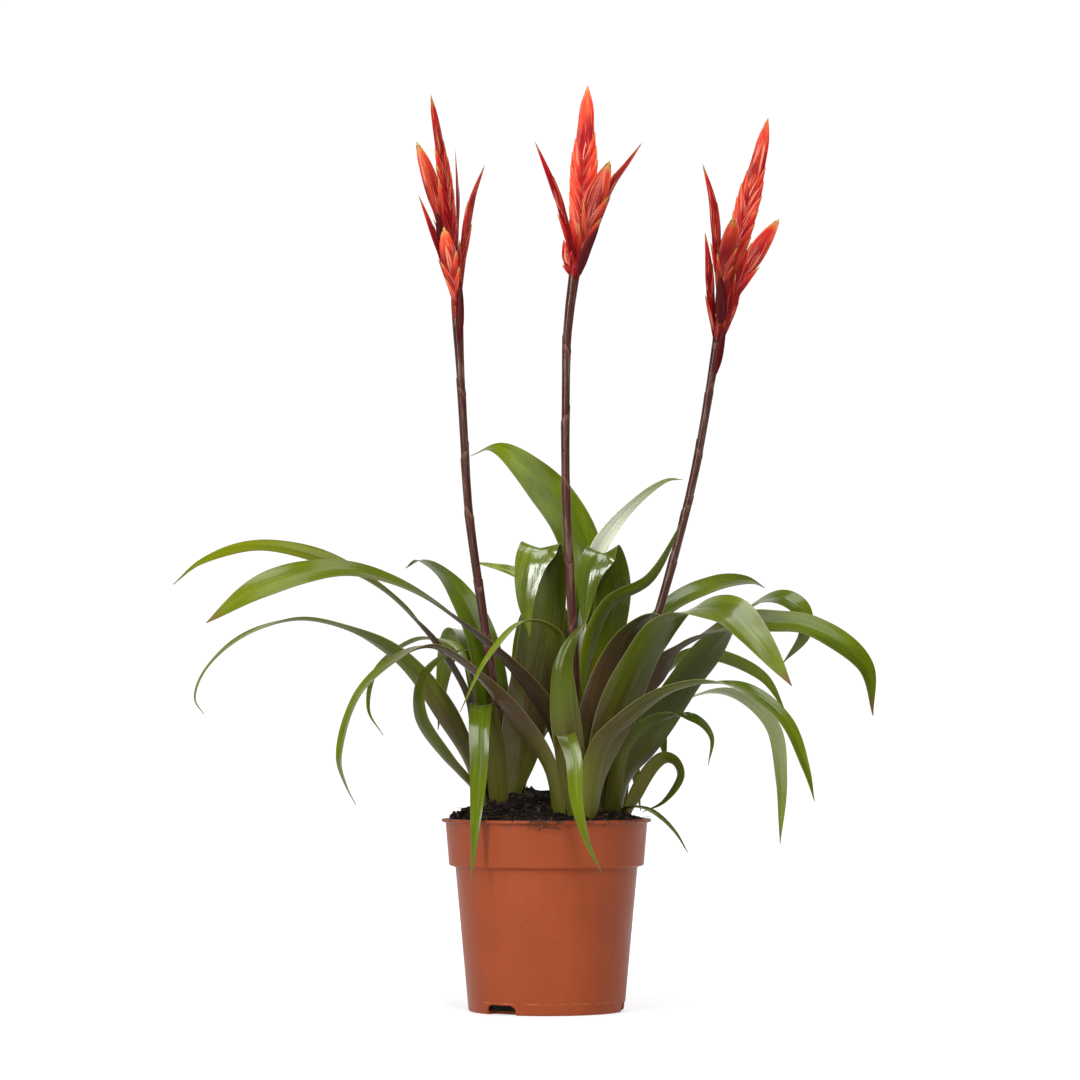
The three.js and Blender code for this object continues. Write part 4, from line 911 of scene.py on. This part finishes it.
def chunk(pile, at, size, seed):
    """One irregular crumb: a rough ball of soil with flattened sides."""
    stretch = [random.uniform(0.6, 1.25) for _ in range(3)]
    verts = []
    for v in BALL_VERTS:
        bulge = 1 + 0.45 * noise.noise(Vector(v) * 1.7 + Vector((seed * 91, at[0], at[1])))
        verts.append([at[i] + v[i] * stretch[i] * size * bulge for i in range(3)])
    pile.add(verts, BALL_FACES, seed=seed)


def fibre(pile, at, length, seed, turn, bend):
    """A thin curled bit of root that sets off along turn."""
    points = [np.array(at, float)]
    step = length / FIBRE.steps
    for _ in range(FIBRE.steps):
        points.append(points[-1] + polar(step, turn, random.uniform(-0.25, 0.25) * step))
        turn += bend / FIBRE.steps
    place = np.linspace(0, 1, FIBRE.rings)[:, None]
    around = full_turn(FIBRE.sides)
    size = FIBRE.radius * (1 - 0.6 * place)
    x, y = size * np.cos(around), size * np.sin(around)
    pile.tube(sweep(Curve(points, 8), place, x, y, (0.3, 0.2, 0.93)), seed=seed)


def on_soil(limit):
    """A random place on the soil, no further out than limit."""
    x, y, _ = polar(limit * math.sqrt(random.random()), random.uniform(0, 2 * math.pi), 0)
    return x, y, crumbled(x, y)


def make_crumbs(material):
    """Crumbs and bits of root over the soil, along the front of the lip and down the rim below it."""
    pile = Pile("seed")
    limit = POT.band_top - POT.wall - 1.2
    for _ in range(CRUMBS):
        x, y, z = on_soil(limit)
        size = random.choice(CRUMB_SIZES) * random.uniform(0.7, 1.2)
        chunk(pile, (x, y, z + 0.3 * size), size, random.random() ** 2)
    for _ in range(FIBRES):
        x, y, z = on_soil(limit - 4)
        turn, bend = random.uniform(0, 2 * math.pi), random.uniform(-2.2, 2.2)
        fibre(pile, (x, y, z + 0.8), random.uniform(5, 14), random.uniform(0.5, 1), turn, bend)
    for _ in range(SPILL.on_lip):
        t = math.radians(random.choice((random.uniform(-125, -55), random.gauss(SPILL.azimuth - 1, 5))))
        at = polar(POT.lip - random.uniform(-0.2, 2.2), t, POT.height + 0.1)
        chunk(pile, at, random.uniform(0.3, 0.8), random.random())
    for _ in range(SPILL.on_rim):
        t, drop = math.radians(random.gauss(SPILL.azimuth, 4.5)), abs(random.gauss(0, 2.2))
        r = POT.lip + 0.2 if drop < POT.lip_drop else POT.band_top + 0.15
        chunk(pile, polar(r, t, POT.height - drop), random.uniform(0.2, 0.55), random.uniform(0.2, 1))
    for _ in range(SPILL.fibres):
        t = math.radians(random.gauss(SPILL.azimuth, 4))
        at = polar(POT.lip + 0.4, t, POT.height - random.uniform(-0.3, 4.5))
        turn = t + math.copysign(math.pi / 2, random.uniform(-1, 1))
        bend = random.uniform(-0.3, 0.3)
        fibre(pile, at, random.uniform(3, 7), random.uniform(0.6, 1), turn, bend)
    place_piece(pile.build("peat_crumbs", material, sharp=70), "soil")


# ------------------------------------------------------------------ studio, in metres

CAMERA = Table(at=(-0.0037, -2.2, 0.16), tilt=2.84, sensor=36, lens=127.77, near=0.05, far=50)
# Area lights: name, place, aim, width and height, power.
LIGHTS = [
    ("key", (-1.3, -1.5, 0.95), (0, 0, 0.25), (0.4, 1.2), 34),
    ("top", (0.2, -0.3, 2.2), (0, 0, 0.2), (1.6, 1.1), 31),
    ("front", (0.4, -1.8, 1.4), (0, 0, 0.25), (0.6, 0.9), 27),
]
FLOOR_REACH = 9


def make_floor():
    """A pale floor that brightens towards the back, like a lit sweep of paper."""
    mesh = bpy.data.meshes.new("floor")
    corners = ((-1, -1), (1, -1), (1, 1), (-1, 1))
    mesh.from_pydata([(x * FLOOR_REACH, y * FLOOR_REACH, 0) for x, y in corners], [], [(0, 1, 2, 3)])
    floor = add_object("floor", mesh)
    n = Nodes("floor_white", Base_Color=(0.45, 0.45, 0.45, 1), Roughness=0.6, Emission_Color=(1, 1, 1, 1))
    back = n.split(n.coordinates())[1]
    n.feed(n.shader.inputs["Emission Strength"], n.ramp(back, 0.1, 1.2, 0.58, 0.9))
    mesh.materials.append(n.owner)


def make_world():
    """Soft light all round and a white backdrop behind the plant."""
    n = Nodes("studio", "worlds", "Background", Color=(1, 1, 1, 1))
    back = n.split(n.coordinates("Generated"))[1]
    n.feed(n.shader.inputs["Strength"], n.ramp(back, 0.5, 0.88, 0.12, 1.05))
    bpy.context.scene.world = n.owner


def area_light(name, at, target, size, power):
    data = bpy.data.lights.new(name, "AREA")
    data.shape, data.size, data.size_y, data.energy = "RECTANGLE", size[0], size[1], power
    light = add_object(name, data)
    light.location = at
    light.rotation_euler = (Vector(target) - Vector(at)).to_track_quat("-Z", "Y").to_euler()


def make_camera():
    data = bpy.data.cameras.new("camera")
    data.sensor_width, data.lens = CAMERA.sensor, CAMERA.lens
    data.clip_start, data.clip_end = CAMERA.near, CAMERA.far
    camera = add_object("camera", data)
    camera.location = CAMERA.at
    camera.rotation_euler = (math.radians(90 + CAMERA.tilt), 0, 0)
    bpy.context.scene.camera = camera


# ------------------------------------------------------------------ scene

bpy.ops.mesh.primitive_ico_sphere_add(subdivisions=1, radius=1)
ball = bpy.context.object
BALL_VERTS = [tuple(v.co) for v in ball.data.vertices]
BALL_FACES = [list(p.vertices) for p in ball.data.polygons]
bpy.data.objects.remove(ball)

make_camera()
make_floor()
make_world()
for light in LIGHTS:
    area_light(*light)

blade, bract = leaf_material(), spike_material()
sheath = sheath_material(
    "stem_sheath", coat=0.36,
    dark=(0.024, 0.006, 0.005), light=(0.084, 0.025, 0.015), green=(0.19, 0.125, 0.08),
)
shield = sheath_material(
    "dark_bract", coat=0.05,
    dark=(0.026, 0.003, 0.004), light=(0.095, 0.009, 0.009), green=(0.04, 0.014, 0.007),
)
make_pot(pot_material())
make_soil(soil_material())
make_crumbs(crumb_material())
for plant, leaves in LEAVES.items():
    for number, (azimuth, layer, width, look, form, path) in enumerate(leaves, 1):
        make_leaf(f"{plant}_{number}", blade, HUBS[plant], azimuth, layer, width, look, path, **form)
for plant, stem in STEMS.items():
    make_stem(plant, sheath, **stem)
    make_head(plant, bract, shield)

bpy.context.scene.view_settings.view_transform = "Standard"
